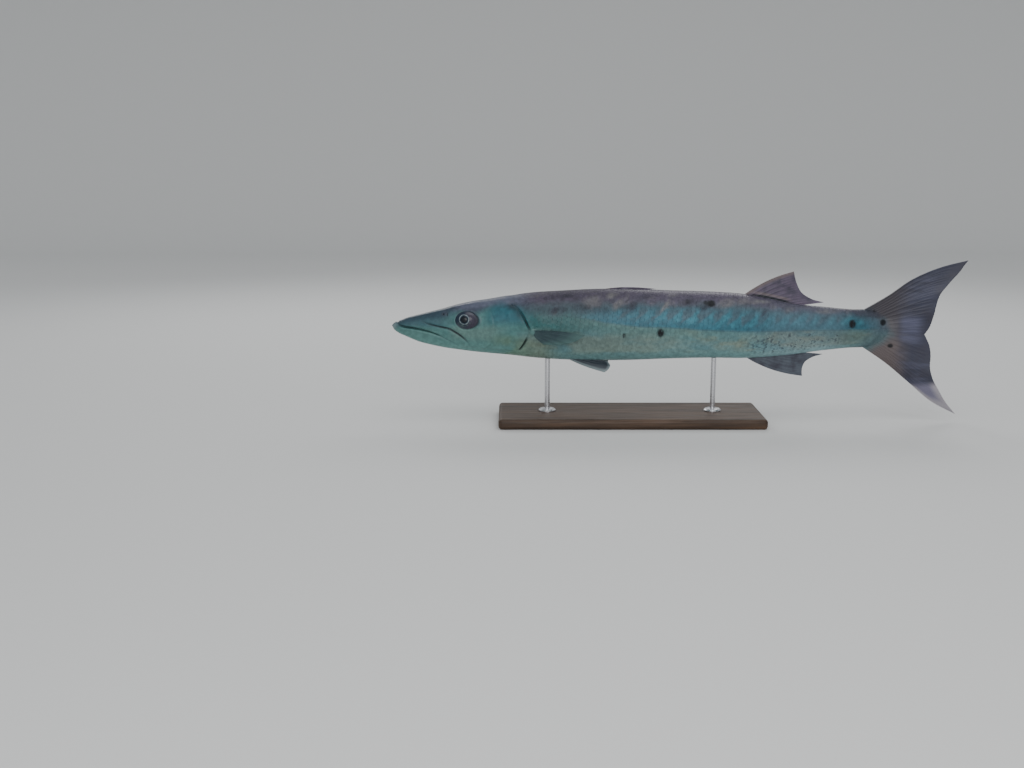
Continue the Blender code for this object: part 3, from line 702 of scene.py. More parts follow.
class Palette(ShaderTree):
    """A finish, laid on in coats."""

    def noise(self, size, detail=3.0, along=1.0, around=1.0, slant=0.0):
        """Noise in patches of about size metres, drawn out along the fish or slanted in side view."""
        drawn_out = self.add("ShaderNodeMapping", vector_type="TEXTURE")
        self.feed(drawn_out.inputs["Vector"], self.place)
        self.feed(drawn_out.inputs["Rotation"], (0.0, -np.radians(slant), 0.0))
        self.feed(drawn_out.inputs["Scale"], (size * along, size * around, size))
        made = self.add("ShaderNodeTexNoise")
        for word, value in (("Vector", drawn_out.outputs[0]), ("Scale", 1.0), ("Detail", detail)):
            self.feed(made.inputs[word], value)
        return made.outputs["Fac"]

    def blend(self, share, under, over, way="MIX"):
        made = self.add("ShaderNodeMix", data_type="RGBA", blend_type=way)
        self.feed(made.inputs["Factor"], share)
        for socket, value in ((made.inputs[6], under), (made.inputs[7], over)):
            self.feed(socket, (*value, 1.0) if isinstance(value, tuple) else value)
        return made.outputs[2]

    def coats(self, colour, *layers):
        """Tints laid over a colour. Each layer is a tint and the limits of its zone."""
        for tint, *limits in layers:
            colour = self.blend(self.zone(*limits), colour, tint)
        return colour

    def scaled(self, colour, factor):
        """A colour made darker or lighter."""
        return self.blend(1.0, colour, factor, "MULTIPLY")

    def relief(self, height, distance, strength, under=None):
        made = self.add("ShaderNodeBump")
        for word, value in (("Height", height), ("Distance", distance), ("Strength", strength)):
            self.feed(made.inputs[word], value)
        if under is not None:
            self.feed(made.inputs["Normal"], under)
        return made.outputs["Normal"]

    def finish(self, colour, roughness, relief=None, **numbers):
        """Joins the colour, roughness and relief, sets the shader's plain numbers, and is done."""
        self.feed(self.shader.inputs["Base Color"], colour)
        self.feed(self.shader.inputs["Roughness"], roughness)
        if relief is not None:
            self.feed(self.shader.inputs["Normal"], relief)
        for word, number in numbers.items():
            self.shader.inputs[SOCKETS[word]].default_value = number
        return self.material


print("ways to lay paint:", [word for word in vars(Palette) if not word.startswith("_")])

# %% [markdown]
# The paint of skin and scales is one recipe, so that both carry the same markings. It is built
# up from the belly, as the colours lie on the fish. The flank is pale, with teal clouds and a
# little tan, greener just under the lateral line, dark teal at the shoulder, and yellowish at the
# throat. Noise moves every border a little, because nothing on a fish ends in a straight line.

# %% Colours of the flank
BELLY_TEAL = (0.088, 0.165, 0.168)
FLANK_PALE = (0.125, 0.178, 0.163)
FLANK_TAN = (0.144, 0.165, 0.128)
FLANK_TEAL = (0.080, 0.160, 0.172)
FLANK_GREEN = (0.078, 0.154, 0.146)
THROAT_YELLOW = (0.124, 0.150, 0.104)
SHOULDER_TEAL = (0.026, 0.104, 0.106)


def flank_colour(paint, wander):
    """The lower side, up to the lateral line."""
    tan_here = paint.zone(("along", 0.325, 0.285), ("along", 0.415, 0.445), way="MAXIMUM")
    return paint.coats(
        FLANK_PALE,
        (FLANK_TEAL, (paint.noise(0.030, 4.0, 2.4), 0.38, 0.62)),
        (FLANK_TAN, (paint.noise(0.017, 4.0, 2.6), 0.52, 0.70, 0.0, 0.75), (tan_here, 0.0, 1.0, 0.20, 1.0)),
        (FLANK_GREEN, (paint.plus("over_line", wander), -0.030, -0.004), ("along", 0.48, 0.62, 0.75, 0.20)),
        (SHOULDER_TEAL, ("along", 0.410, 0.280), (paint.plus("height", wander), -0.018, 0.006)),
        (BELLY_TEAL, ("level", -0.62, -0.82)),
        (THROAT_YELLOW, ("along", 0.300, 0.255), ("level", -0.25, -0.50, 0.0, 0.6)))


print("tints of the flank, light and dark:", FLANK_PALE, SHOULDER_TEAL)

# %% [markdown]
# Over the flank lies the blue band of the lateral line, and over that the mottled back, slate
# below and mauve on top. Dark bars slant down and forward from the back into the blue, with a
# brighter spot between each two. A ping-pong of the slanted place gives bars at even distances,
# and noise then breaks them up.

# %% Colours of the trunk
LINE_BLUE = (0.028, 0.104, 0.142)
LINE_CYAN = (0.032, 0.128, 0.172)
SPOT_CYAN = (0.040, 0.182, 0.235)
BACK_SLATE = (0.064, 0.090, 0.110)
BACK_MAUVE = (0.078, 0.066, 0.102)
BACK_DARK = (0.024, 0.025, 0.040)
BACK_PALE = (0.165, 0.160, 0.165)
BACK_EDGE = (0.072, 0.060, 0.092)
BAR_SPACING, BAR_SLANT, BAR_START = 0.0273, 0.80, 0.0079
STREAK = {"slant": 52.0, "along": 1.5}


def back_colour(paint, cloud):
    """The mottled back, with dark and pale slanting patches."""
    patch = paint.noise(0.020, **STREAK)
    return paint.coats(
        BACK_SLATE,
        (BACK_MAUVE, (paint.plus("level", patch, 0.4), 0.74, 1.04)),
        (BACK_DARK, (cloud, 0.54, 0.70, 0.0, 0.40)),
        (BACK_PALE, (patch, 0.56, 0.72, 0.0, 0.40)),
        (BACK_DARK, (paint.noise(0.008, **STREAK), 0.44, 0.30, 0.0, 0.45)))


def trunk_colour(paint, cloud, wander):
    """The body's colours, from the belly up."""
    shift = paint.noise(0.018, 2.0)
    place = paint.plus(paint.plus("along", "height", -BAR_SLANT), shift, 0.018)
    bar = paint.math("DIVIDE", paint.plus(place, BAR_START), BAR_SPACING)
    bar = paint.math("PINGPONG", bar, 0.5)
    streaks = paint.noise(0.014, along=1.8, slant=STREAK["slant"])
    blue = paint.coats(
        LINE_BLUE,
        (LINE_CYAN, (streaks, 0.36, 0.64)),
        (SPOT_CYAN, (bar, 0.36, 0.08), ("over_line", 0.003, 0.014), ("along", 0.40, 0.50, 0.25, 0.70),
         (paint.noise(0.016, 2.0), 0.34, 0.60, 0.35, 1.0)))
    cover = paint.ramp(paint.plus("over_line", shift, 0.020), 0.012, 0.044, -0.05, 0.50)
    dark_bar = paint.zone((paint.plus(bar, cover), 0.38, 0.72), ("along", 0.33, 0.42),
                          ("along", 0.82, 0.77), ("along", 0.55, 0.64, 0.70, 0.48))
    upper = paint.ramp(paint.plus("over_back", wander, 1.4), -0.012, 0.012)
    ragged = paint.ramp(paint.noise(0.010, **STREAK), 0.32, 0.56, 0.35, 1.0)
    return paint.coats(
        flank_colour(paint, wander),
        (blue, (paint.plus("over_line", wander, 0.35), -0.0030, 0.0034), ("along", 0.29, 0.36)),
        (back_colour(paint, cloud), paint.zone(upper, dark_bar, way="MAXIMUM")),
        (BACK_DARK, "dark_patch", ragged),
        # pale patches of the back, one of them a painted highlight under the second dorsal fin's foot
        (BACK_PALE, "pale_patch_and_highlight", ragged),
        (BACK_EDGE, ("level", 0.86, 0.98, 0.0, 0.7)))


print("distance between bars, mm:", 1000 * BAR_SPACING)

# %% [markdown]
# The head is plain teal: paler on jaw and cheek, slate on the snout, blue on the gill cover and
# yellowish below it, with a dusky crown, a painted highlight on top of the nape, and darker round
# the eye. Where body and tail fin meet, the flesh turns blue grey and then brown or olive. Skin and
# tail fin share that last recipe, so no line shows where the flesh ends. On the skin it is painted
# a little lighter, as painted light against the shade on the flesh's rounded end.

# %% Colours of the head and of the tail's base
HEAD_TEAL = (0.058, 0.150, 0.146)
HEAD_BLUE = (0.022, 0.096, 0.122)
CHEEK_PALE = (0.098, 0.176, 0.160)
CHEEK_YELLOW = (0.098, 0.158, 0.108)
JAW_TEAL = (0.074, 0.168, 0.158)
SNOUT_SLATE = (0.034, 0.084, 0.102)
CROWN_FRONT = (0.026, 0.050, 0.070)
CROWN_GREY = (0.044, 0.052, 0.080)
# painted highlight on top of the nape
NAPE_HIGHLIGHT = (0.086, 0.098, 0.142)
ORBIT_SLATE = (0.046, 0.054, 0.078)
TAIL_BASE = (0.056, 0.090, 0.114)
TAIL_BASE_LOW = (0.068, 0.114, 0.126)
TAIL_BASE_TOP = (0.036, 0.042, 0.058)
TAIL_TAN = (0.098, 0.090, 0.098)
TAIL_BROWN = (0.120, 0.096, 0.092)
TAIL_OLIVE = (0.047, 0.041, 0.048)


def head_colour(paint, cloud, wander):
    wavy = paint.plus("height", wander)
    place = paint.plus("along", paint.noise(0.012, 4.0), 0.060)
    # the crown's tints, with a painted highlight on top of the nape
    crown_and_nape_highlight = paint.coats(CROWN_FRONT, (CROWN_GREY, (place, 0.105, 0.155)),
                       (NAPE_HIGHLIGHT, ("level", 0.68, 0.84), (place, 0.125, 0.165)))
    return paint.coats(
        HEAD_TEAL,
        (JAW_TEAL, (wavy, -0.010, -0.034)),
        (JAW_TEAL, ("along", 0.105, 0.065), ("height", 0.002, -0.012)),
        (SNOUT_SLATE, ("along", 0.125, 0.075), ("height", -0.006, 0.004, 0.0, 0.85)),
        (CHEEK_PALE, ("along", 0.092, 0.115), ("along", 0.210, 0.165), (wavy, -0.030, -0.016),
         (wavy, 0.008, -0.005, 0.0, 0.85)),
        (HEAD_BLUE, ("along", 0.150, 0.185), ("height", -0.002, 0.018)),
        (CHEEK_YELLOW, ("along", 0.155, 0.205), ("height", -0.006, -0.022), (cloud, 0.38, 0.60, 0.0, 0.65)),
        (crown_and_nape_highlight, (paint.plus("over_back", wander), -0.012, 0.005)),
        (ORBIT_SLATE, "orbit"))


def tail_base(paint):
    """The colour where body and tail fin meet."""
    place = paint.plus("tail_place", paint.noise(0.014, 4.0), 0.024)
    place = paint.plus(place, paint.ramp("height", 0.000, -0.018, 0.0, -0.012))
    brown = paint.coats(TAIL_BROWN, (TAIL_TAN, ("height", -0.036, -0.014)),
                        (TAIL_OLIVE, ("height", 0.004, 0.018)))
    return paint.coats(TAIL_BASE, (TAIL_BASE_LOW, ("height", -0.004, -0.020)),
                       (TAIL_BASE_TOP, ("height", 0.007, 0.019)), (brown, (place, 0.852, 0.888)))


print("tints of the head, front and top:", SNOUT_SLATE, CROWN_GREY)

# %% [markdown]
# The whole fish joins these parts. A fine mottle goes over them all, and then painted light and
# shade: lighter under the belly and low on the side, painted as light thrown up from below, and
# darker on top and on the shoulder, painted as shade, and darker towards the tail. Blotches and
# the painted shade of slits, creases and pits come last, like ink on the finished painting. A wet
# skin is smooth but not mirror-like, so its gloss is soft, with a thin clear coat on top.

# %% Paint of the skin
REAR_GREY = (0.125, 0.150, 0.180)
TIP_PALE = (0.190, 0.240, 0.250)
BLOTCH_BLACK = (0.003, 0.004, 0.006)
# painted shade, for slits, creases, pits and grooves
SHADE_BLACK = (0.004, 0.009, 0.013)
MOTTLE_LOW, MOTTLE_HIGH = 0.86, 1.14
WANDER = 0.014


def painted_light_and_shade(paint):
    """Painted light and shade: how much lighter or darker than its tints each part is painted."""
    under = paint.ramp("along", 0.18, 0.28, 1.30, 1.75)
    lit_side = paint.zone(("along", 0.36, 0.50), ("along", 0.80, 0.73), ("level", 0.0, -0.30))
    shaded_shoulder = paint.zone(("along", 0.215, 0.270), ("along", 0.50, 0.32), ("level", -0.05, 0.25))
    # painted light under the belly and low on the side, painted shade on top and on the shoulder, and darker
    # towards the tail
    return paint.zone(("level", -0.35, -1.0, 1.0, under), ("level", 0.45, 1.0, 1.0, 0.86),
                      paint.plus(1.0, lit_side, 0.26), paint.plus(1.0, shaded_shoulder, -0.22),
                      ("along", 0.735, 0.805, 1.0, 0.78))


def fish_colour(paint):
    """Lays the fish's markings on a palette and gives the colour that comes out."""
    cloud = paint.noise(0.032, 4.0)
    wander = paint.plus(-WANDER / 2, cloud, WANDER)
    place = paint.plus("along", wander)
    colour = paint.coats(
        head_colour(paint, cloud, wander),
        (trunk_colour(paint, cloud, wander), (place, 0.205, 0.255)),
        (REAR_GREY, (place, 0.60, 0.68, 0.0, 0.28), (place, 0.80, 0.765)),
        (TIP_PALE, ("along", 0.014, 0.003, 0.0, 0.6), ("height", -0.010, -0.002)))
    mottle = paint.ramp(paint.noise(0.006), 0.30, 0.72, MOTTLE_LOW, MOTTLE_HIGH)
    # over the mottle go the painted light and shade
    colour = paint.scaled(paint.scaled(colour, mottle), painted_light_and_shade(paint))
    # the tail's base colour, mottled and painted a little lighter on the skin: painted light against the
    # shade on the flesh's rounded end
    mottled_lit_tail_base = paint.scaled(tail_base(paint), paint.ramp(mottle, MOTTLE_LOW, MOTTLE_HIGH, 1.00, 1.24))
    return paint.coats(
        colour,
        (mottled_lit_tail_base, (paint.plus("tail_place", wander), 0.808, 0.849)),
        (BACK_DARK, (paint.math("ABSOLUTE", "over_line"), 0.0014, 0.0003), ("along", 0.22, 0.30, 0.0, 0.18)),
        (JAW_TEAL, "pale", 0.6),
        (BLOTCH_BLACK, "blotch"),
        # last, the painted shade of the slits, creases, pits and grooves
        (SHADE_BLACK, "dark"))


def skin_paint():
    paint = Palette("skin_wet")
    fine = paint.relief(paint.noise(0.0016, 2.0), 0.0004, 0.35)
    return paint.finish(fish_colour(paint), paint.ramp(paint.noise(0.004), 0.2, 0.8, 0.30, 0.46),
                        paint.relief(paint.noise(0.012), 0.0008, 0.30, fine),
                        specular=0.22, coat=0.08, coat_roughness=0.22)


SKIN = skin_paint()
print("nodes in the skin's paint:", len(SKIN.node_tree.nodes))

# %% [markdown]
# ## One skin
#
# The skin is a grid wrapped round the body: rings along it and columns around it. The rings are
# close together on the head, where all the small features are, and further apart under the
# scales. Each point then moves in or out by the sum of the sculpting formulas. A sculpted block
# would need millions of faces for the same crispness.

# %% Wrap and sculpt the skin
COLUMNS = 280
NOSE_RINGS = [0.00003, 0.00015, 0.0004, 0.0008, 0.0014, 0.0021, 0.0029]
# start, end and distance of the rings on snout, head, trunk and tail stem
RING_PARTS = [(0.0038, 0.030, 0.0009), (0.030, 0.262, 0.0010), (0.262, 0.830, 0.0090),
              (0.830, BODY_END, 0.0025)]
FLESH = ["head", "lower_jaw", "upper_jaw_plate_left", "upper_jaw_plate_right", "gill_cover_left",
         "gill_cover_right", "body_front", "body_middle", "body_rear", "tail_stem"]


def sculpted(distance, angle, extra=0.0):
    """The finished skin's points, raised by extra, and the shade painted in its creases."""
    point, normal = surface(distance, angle), outward(distance, angle)
    s, y, z = point[..., 0], point[..., 1], point[..., 2]
    creases = [(mouth(s, z), 1.0), (maxilla(s, z), 1.05), (gill(s, z), 1.0), (nostrils(s, z), 0.7),
               (groove(s, y, z), 1.0)]
    lift = sum(relief for (relief, _), _ in creases) + cheek(s, z) + socket(s, z)
    lift = lift + crown(distance, angle) + throat(distance, angle) + FIN_BASE_RISE * base_share(s, z)
    # each crease's painted shade, at its own strength
    dark = sum(strength * crease_shade for (_, crease_shade), strength in creases)
    return point + normal * (lift + extra)[..., None], np.clip(dark, 0.0, 1.0)


def build_skin():
    rings = np.concatenate([NOSE_RINGS, *[np.arange(*part) for part in RING_PARTS], [BODY_END]])
    distance, angle = np.meshgrid(rings, np.arange(COLUMNS) * 2 * np.pi / COLUMNS, indexing="ij")
    points, dark = sculpted(distance, angle)
    skin = mesh_object("skin", points, tube_faces(*distance.shape), paint_masks(points, dark), SKIN)
    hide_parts(*FLESH)
    print("skin:", distance.size, "points in", len(rings), "rings")


build_skin()

# %% [markdown]
# ## Scales
#
# A great barracuda has about eighty rows of smooth, round-edged scales from gill to tail. Each
# scale is a thin plate rooted under the one in front, so the rows overlap like roof tiles. The
# plates are laid straight onto the surface function, so they follow every curve of the body, and
# they get smaller towards the tail as the real ones do. Making them as one array of points is
# quick, where thousands of separate objects would be slow.

# %% Where the scales grow
SCALES_AROUND = 52
SCALE_STEP_FRONT, SCALE_STEP_TAIL = 0.0078, 0.0048
SCALES_START, SCALES_END = 0.196, 0.858
TOP_START, THROAT_START, SLIT_GAP = 0.197, 0.222, 0.0050
ROW_SLANT = 0.0065
ROOT_JITTER, TURN_JITTER = 0.00035, 0.010
random = np.random.default_rng(11)


def scale_rows():
    """Distances of the rows of scales, closer together towards the tail."""
    places = [SCALES_START - ROW_SLANT * np.pi]
    while places[-1] < SCALES_END:
        step = SCALE_STEP_FRONT + (SCALE_STEP_TAIL - SCALE_STEP_FRONT) * fade(places[-1], 0.60, 0.85)
        places.append(places[-1] + float(step))
    return np.array(places[:-1])


def scale_roots():
    """Distance, angle and row step of every scale that has room behind the gill slit."""
    rows = scale_rows()
    distance = np.repeat(rows, SCALES_AROUND)
    step = np.repeat(np.gradient(rows), SCALES_AROUND)
    shift = np.tile(np.arange(SCALES_AROUND), len(rows))
    shift = shift + np.repeat(np.arange(len(rows)) % 2 * 0.5, SCALES_AROUND)
    angle = shift * (2 * np.pi / SCALES_AROUND)
    slanted = distance + ROW_SLANT * turned_from(angle, BELLY_ANGLE)
    distance = slanted + random.normal(0.0, ROOT_JITTER, len(distance))
    angle = angle + random.normal(0.0, TURN_JITTER, len(angle))
    at = surface(distance, angle)
    behind, _ = beside(GILL_SLIT, at[:, 0], at[:, 2])
    beyond_slit = np.abs(at[:, 2]) > abs(GILL_SLIT[-1][1])
    ragged = 0.003 * np.sin(7 * angle) + 0.002 * np.sin(17 * angle)
    first = np.where(np.sin(angle) > 0, TOP_START, THROAT_START) + ragged
    clear = np.where(beyond_slit, distance > first, behind > SLIT_GAP)
    clear &= base_share(at[:, 0], at[:, 2]) < 0.1
    clear &= (distance < SCALES_END) & (tail_place(distance, at[:, 2]) < SCALES_END + 0.002)
    return distance[clear], angle[clear], step[clear]


root_distance, root_angle, root_step = scale_roots()
print("scales:", len(root_distance))

# %% [markdown]
# One plate is a small grid, rounded at its rear edge, domed a little across, and closed below.
# The rear edge stands about a fifth of a millimetre off the skin. Slight random changes in
# length, lift and tint keep the rows from looking stamped. Each plate also gets a small patch of
# a map, at its root's place on the unwrapped body, for when the paint is baked to a picture.

# %% The shape of a scale
ACROSS, ALONG = 9, 6
PLATE_ACROSS = np.sin(np.linspace(-np.pi / 2, np.pi / 2, ACROSS))
PLATE_ALONG = np.array([0.0, 0.34, 0.60, 0.80, 0.93, 1.0])
SCALE_LIFT, SCALE_THICKNESS, SCALE_ROOT, SCALE_DOME = 0.00016, 0.00012, -0.00028, 0.00007
SCALE_LENGTH, SCALE_WIDTH, SCALE_ROUNDING, SCALE_TAPER = 1.62, 1.26, 0.44, 0.10
PATCH, MAP_SHARE, MAP_EDGE = 0.003, 0.96, 0.02
PLATE_RIM = grid_rim(ALONG, ACROSS).tolist()


def plate_faces():
    """Faces of one plate: its grid, its rim and its underside."""
    count, under = len(PLATE_RIM), ACROSS * ALONG
    after = [(k + 1) % count for k in range(count)]
    faces = grid_faces(ALONG, ACROSS)[:, [0, 3, 2, 1]].tolist()
    faces += [[PLATE_RIM[k], PLATE_RIM[after[k]], under + after[k], under + k] for k in range(count)]
    return faces + [[under + k for k in range(count)]]


def with_rim(values):
    """A plate's values, and those of its rim once more for the underside."""
    return np.concatenate([values, values[:, PLATE_RIM]], axis=1)


def scale_points(distance, angle, step):
    """Points, masks and map coordinates of the plates rooted at the given places."""
    count = len(distance)
    across, along = np.meshgrid(PLATE_ACROSS, PLATE_ALONG)
    across, along = across.ravel()[None, :], along.ravel()[None, :]
    length = (step * SCALE_LENGTH * random.uniform(0.96, 1.04, count))[:, None]
    turn = 2 * np.pi / SCALES_AROUND * SCALE_WIDTH / 2
    grown = fade(distance, SCALES_START, SCALES_START + 0.045) * 0.75 + 0.25
    lift = (SCALE_LIFT * grown * random.uniform(0.80, 1.20, count))[:, None]
    s = distance[:, None] + length * along * (1 - SCALE_ROUNDING * (1 - np.sqrt(1 - across ** 2)))
    around = angle[:, None] + turn * across * (1 - SCALE_TAPER * along ** 2)
    height = SCALE_ROOT + (lift - SCALE_ROOT) * along ** 0.7
    height = height + SCALE_DOME * (1 - across ** 2) * (1 - 0.6 * along)
    upper, dark = sculpted(s, around, height)
    lower = (upper - outward(s, around) * SCALE_THICKNESS)[:, PLATE_RIM]
    tint = np.repeat(random.uniform(0, 1, count)[:, None], upper.shape[1], axis=1)
    whole = np.ones((count, 1))
    # dark is the painted shade of the creases under the scale
    masks = {"edge": along ** 5 * whole, "tint": tint, "tip": along * whole, "dark": dark}
    u = (distance[:, None] * MAP_SHARE + MAP_EDGE) + PATCH * (along - 0.5)
    v = (angle[:, None] / (2 * np.pi) % 1.0) * MAP_SHARE + MAP_EDGE + PATCH / 2 * across
    masks = {name: with_rim(values) for name, values in masks.items()}
    return np.concatenate([upper, lower], axis=1), masks, with_rim(np.stack([u, v], axis=-1))


print("faces of one scale:", len(plate_faces()))

# %% [markdown]
# The scales' paint starts from the same recipe as the skin's. Each scale is a little lighter or
# darker than the next, its rear edge is a shade darker, and low on the rear flank many scales
# have a dark fleck at the tip, which together read as fine peppering.

# %% Grow the scales
MOST_SCALES = 1200


def scale_paint():
    paint = Palette("scale_sheen")
    colour = paint.coats(
        paint.scaled(fish_colour(paint), paint.ramp("tint", 0.0, 1.0, 0.93, 1.07)),
        (BACK_DARK, ("height", -0.006, -0.014), ("along", 0.585, 0.640), ("along", 0.800, 0.760),
         ("level", -0.90, -0.70), ("tint", 0.25, 0.75), (paint.noise(0.004), 0.38, 0.56),
         ("tip", 0.40, 0.80, 0.0, 0.70)),
        (BACK_DARK, ("edge", 0.50, 1.0, 0.0, 0.06)))
    growth_lines = paint.relief(paint.noise(0.0012, 2.0, 3.0), 0.0002, 0.30)
    return paint.finish(colour, paint.ramp(paint.noise(0.003), 0.2, 0.8, 0.34, 0.48), growth_lines,
                        metallic=0.08, specular=0.22, coat=0.06, coat_roughness=0.22)


def build_scales(name, chosen, paint):
    """One joined mesh of the chosen scales, with the patch map for baking."""
    points, masks, patch = scale_points(root_distance[chosen], root_angle[chosen], root_step[chosen])
    each = points.shape[1]
    plate = plate_faces()
    faces = [tuple(index + k * each for index in face) for k in range(len(points)) for face in plate]
    flat = points.reshape(-1, 3)
    painted = paint_masks(flat, np.zeros(len(flat)))
    painted.update({mask: values.ravel() for mask, values in masks.items()})
    coat = mesh_object(name, flat, faces, painted, paint)
    corners = np.zeros(len(coat.data.loops), np.int32)
    coat.data.loops.foreach_get("vertex_index", corners)
    chart = coat.data.uv_layers.new(name="OFBake")
    chart.data.foreach_set("uv", patch.reshape(-1, 2)[corners].astype(np.float32).ravel())
    print(name, len(points), "scales,", sum(len(f) - 2 for f in plate) * len(points), "triangles")


SCALE = scale_paint()
on_left = np.cos(root_angle) < 0
for word, side in (("left", on_left), ("right", ~on_left)):
    indices = np.flatnonzero(side)
    for part, chosen in enumerate(np.array_split(indices, int(np.ceil(len(indices) / MOST_SCALES)))):
        build_scales(f"scales_{word}_{part + 1}", chosen, SCALE)

# %% [markdown]
# ## Eyes
#
# The eye is a flattened ball, wider than it is high, that fills its socket. The pupil sits
# forward of the middle, where a hunter needs it, and bulges as the real lens does. The iris is a
# bright silver ring round it, and the rest of the ball is dark slate, violet behind and green
# below. Rings of colour are painted by the distance from the pupil's centre, which is stored on
# the points.

# %% Paint of the eyes
EYE_NAVY = (0.010, 0.022, 0.040)
EYE_VIOLET = (0.046, 0.040, 0.062)
EYE_DARK = (0.006, 0.010, 0.018)
EYE_GREEN = (0.060, 0.095, 0.090)
EYE_SILVER = (0.200, 0.250, 0.260)
EYE_SILVER_DIM = (0.085, 0.110, 0.125)
EYE_RIM = (0.105, 0.112, 0.130)
PUPIL_BLACK = (0.002, 0.005, 0.009)


def eye_paint():
    paint = Palette("eye_glassy")
    ring = paint.plus("ring", paint.noise(0.0030), 0.0016)
    silver = paint.coats(EYE_SILVER_DIM, (EYE_SILVER, (paint.noise(0.004, 2.0), 0.32, 0.62)))
    rear_or_low = paint.zone(("across", 0.0, 0.012), ("over", -0.004, -0.012), way="MAXIMUM")
    colour = paint.coats(
        EYE_NAVY,
        (EYE_VIOLET, ("across", -0.004, 0.012)),
        (EYE_DARK, (paint.noise(0.0010), 0.35, 0.70, 0.0, 0.5)),
        (EYE_GREEN, ("over", -0.003, -0.008), (ring, 0.0150, 0.0120),
         (paint.noise(0.004), 0.42, 0.62, 0.0, 0.8)),
        (silver, (ring, 0.0100, 0.0090)),
        (EYE_NAVY, (ring, 0.0088, 0.0076)),
        (PUPIL_BLACK, (ring, 0.0072, 0.0062)),
        (EYE_RIM, rear_or_low, ("rim", 0.60, 0.86, 0.0, 0.55)))
    return paint.finish(colour, 0.32, specular=0.15, coat=0.25, coat_roughness=0.06)


EYE_PAINT = eye_paint()
print("nodes in the eye's paint:", len(EYE_PAINT.node_tree.nodes))

# %% [markdown]
# The ball is built from rings about the axis that points out of the head. How far it stands out
# comes from the body's own width at the eye, so it sits in the socket on both sides alike.

# %% Make the eyes
EYE_RADII = (0.0226, 0.0105, 0.0168)
EYE_BULGE, LENS_BULGE = 0.0026, 0.0011
PUPIL, PUPIL_SIZE = (0.1262, 0.0133), 0.0056
EYE_RINGS, EYE_COLUMNS, EYE_POLE = 56, 112, 0.004


def half_width_at(distance, height):
    """How far the body's side stands from the middle plane at a distance and a height."""
    back, belly, squareness = [station(distance, column) for column in (BACK, BELLY, SQUARENESS)]
    level = min(abs(2 * (height - belly) / (back - belly) - 1), 1.0)
    return station(distance, HALF_WIDTH) * (1 - level ** squareness) ** (1 / squareness)


def build_eye(word, side):
    depth = half_width_at(*EYE) + EYE_BULGE - EYE_RADII[1]
    tilt, turn = np.meshgrid(np.linspace(EYE_POLE, np.pi - EYE_POLE, EYE_RINGS),
                             np.arange(EYE_COLUMNS) * 2 * np.pi / EYE_COLUMNS, indexing="ij")
    s = EYE[0] + EYE_RADII[0] * np.sin(tilt) * np.cos(turn)
    z = EYE[1] + EYE_RADII[2] * np.sin(tilt) * np.sin(turn)
    ring = np.hypot(s - PUPIL[0], z - PUPIL[1])
    lens = LENS_BULGE * fade(ring, PUPIL_SIZE * 1.7, PUPIL_SIZE * 0.6) * (np.cos(tilt) > 0)
    y = side * (depth + EYE_RADII[1] * np.cos(tilt) + lens)
    faces = tube_faces(EYE_RINGS, EYE_COLUMNS)
    if side > 0:
        faces = [face[::-1] for face in faces]
    masks = {"ring": ring, "across": s - PUPIL[0], "over": z - PUPIL[1], "rim": np.sin(tilt)}
    eye = mesh_object(f"eyeball_{word}", np.stack([s, y, z], axis=-1), faces, masks, EYE_PAINT)
    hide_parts(f"eye_{word}")


build_eye("left", -1)
build_eye("right", 1)
print("pupil, mm across:", round(2000 * PUPIL_SIZE, 1))

# %% [markdown]
# ## Fins
#
# A fin is a membrane stretched over rays. Soft rays fork once or twice on the way to the edge,
# and each fork is a pair of thinner ridges. Here one grid spans from the root line to the edge
# line, and its thickness swells wherever a ray runs. It is thick at its root and thin as card at
# its edge, which is a little frayed between the rays.

# %% The shape of a fin
STRAIGHT = (0.0, 0.0, 0.0)
SAMPLES_PER_RAY = 12
NOTCH, RIPPLE, RIBBING, LEADING_SWELL = 0.010, 0.0006, 0.58, 0.55
THINNEST, THINNEST_EDGE = 0.00022, 0.00012


def ray_height(u, v, rays, forks):
    """How strongly a ray runs at each place: 1 on its crest, 0 between rays."""
    place = u * (rays - 1)
    wobble = np.sin(np.round(place) * 2.4)
    aside = np.abs(place - np.round(place))
    if forks > 0:
        aside = np.abs(aside - 0.25 * fade(v, 0.34 + 0.05 * wobble, 0.95))
    if forks > 1:
        aside = np.abs(aside - 0.125 * fade(v, 0.62 + 0.04 * wobble, 1.05))
    return bump(aside, 0.17 - 0.10 * fade(v, 0.1, 0.9) * (forks > 0))


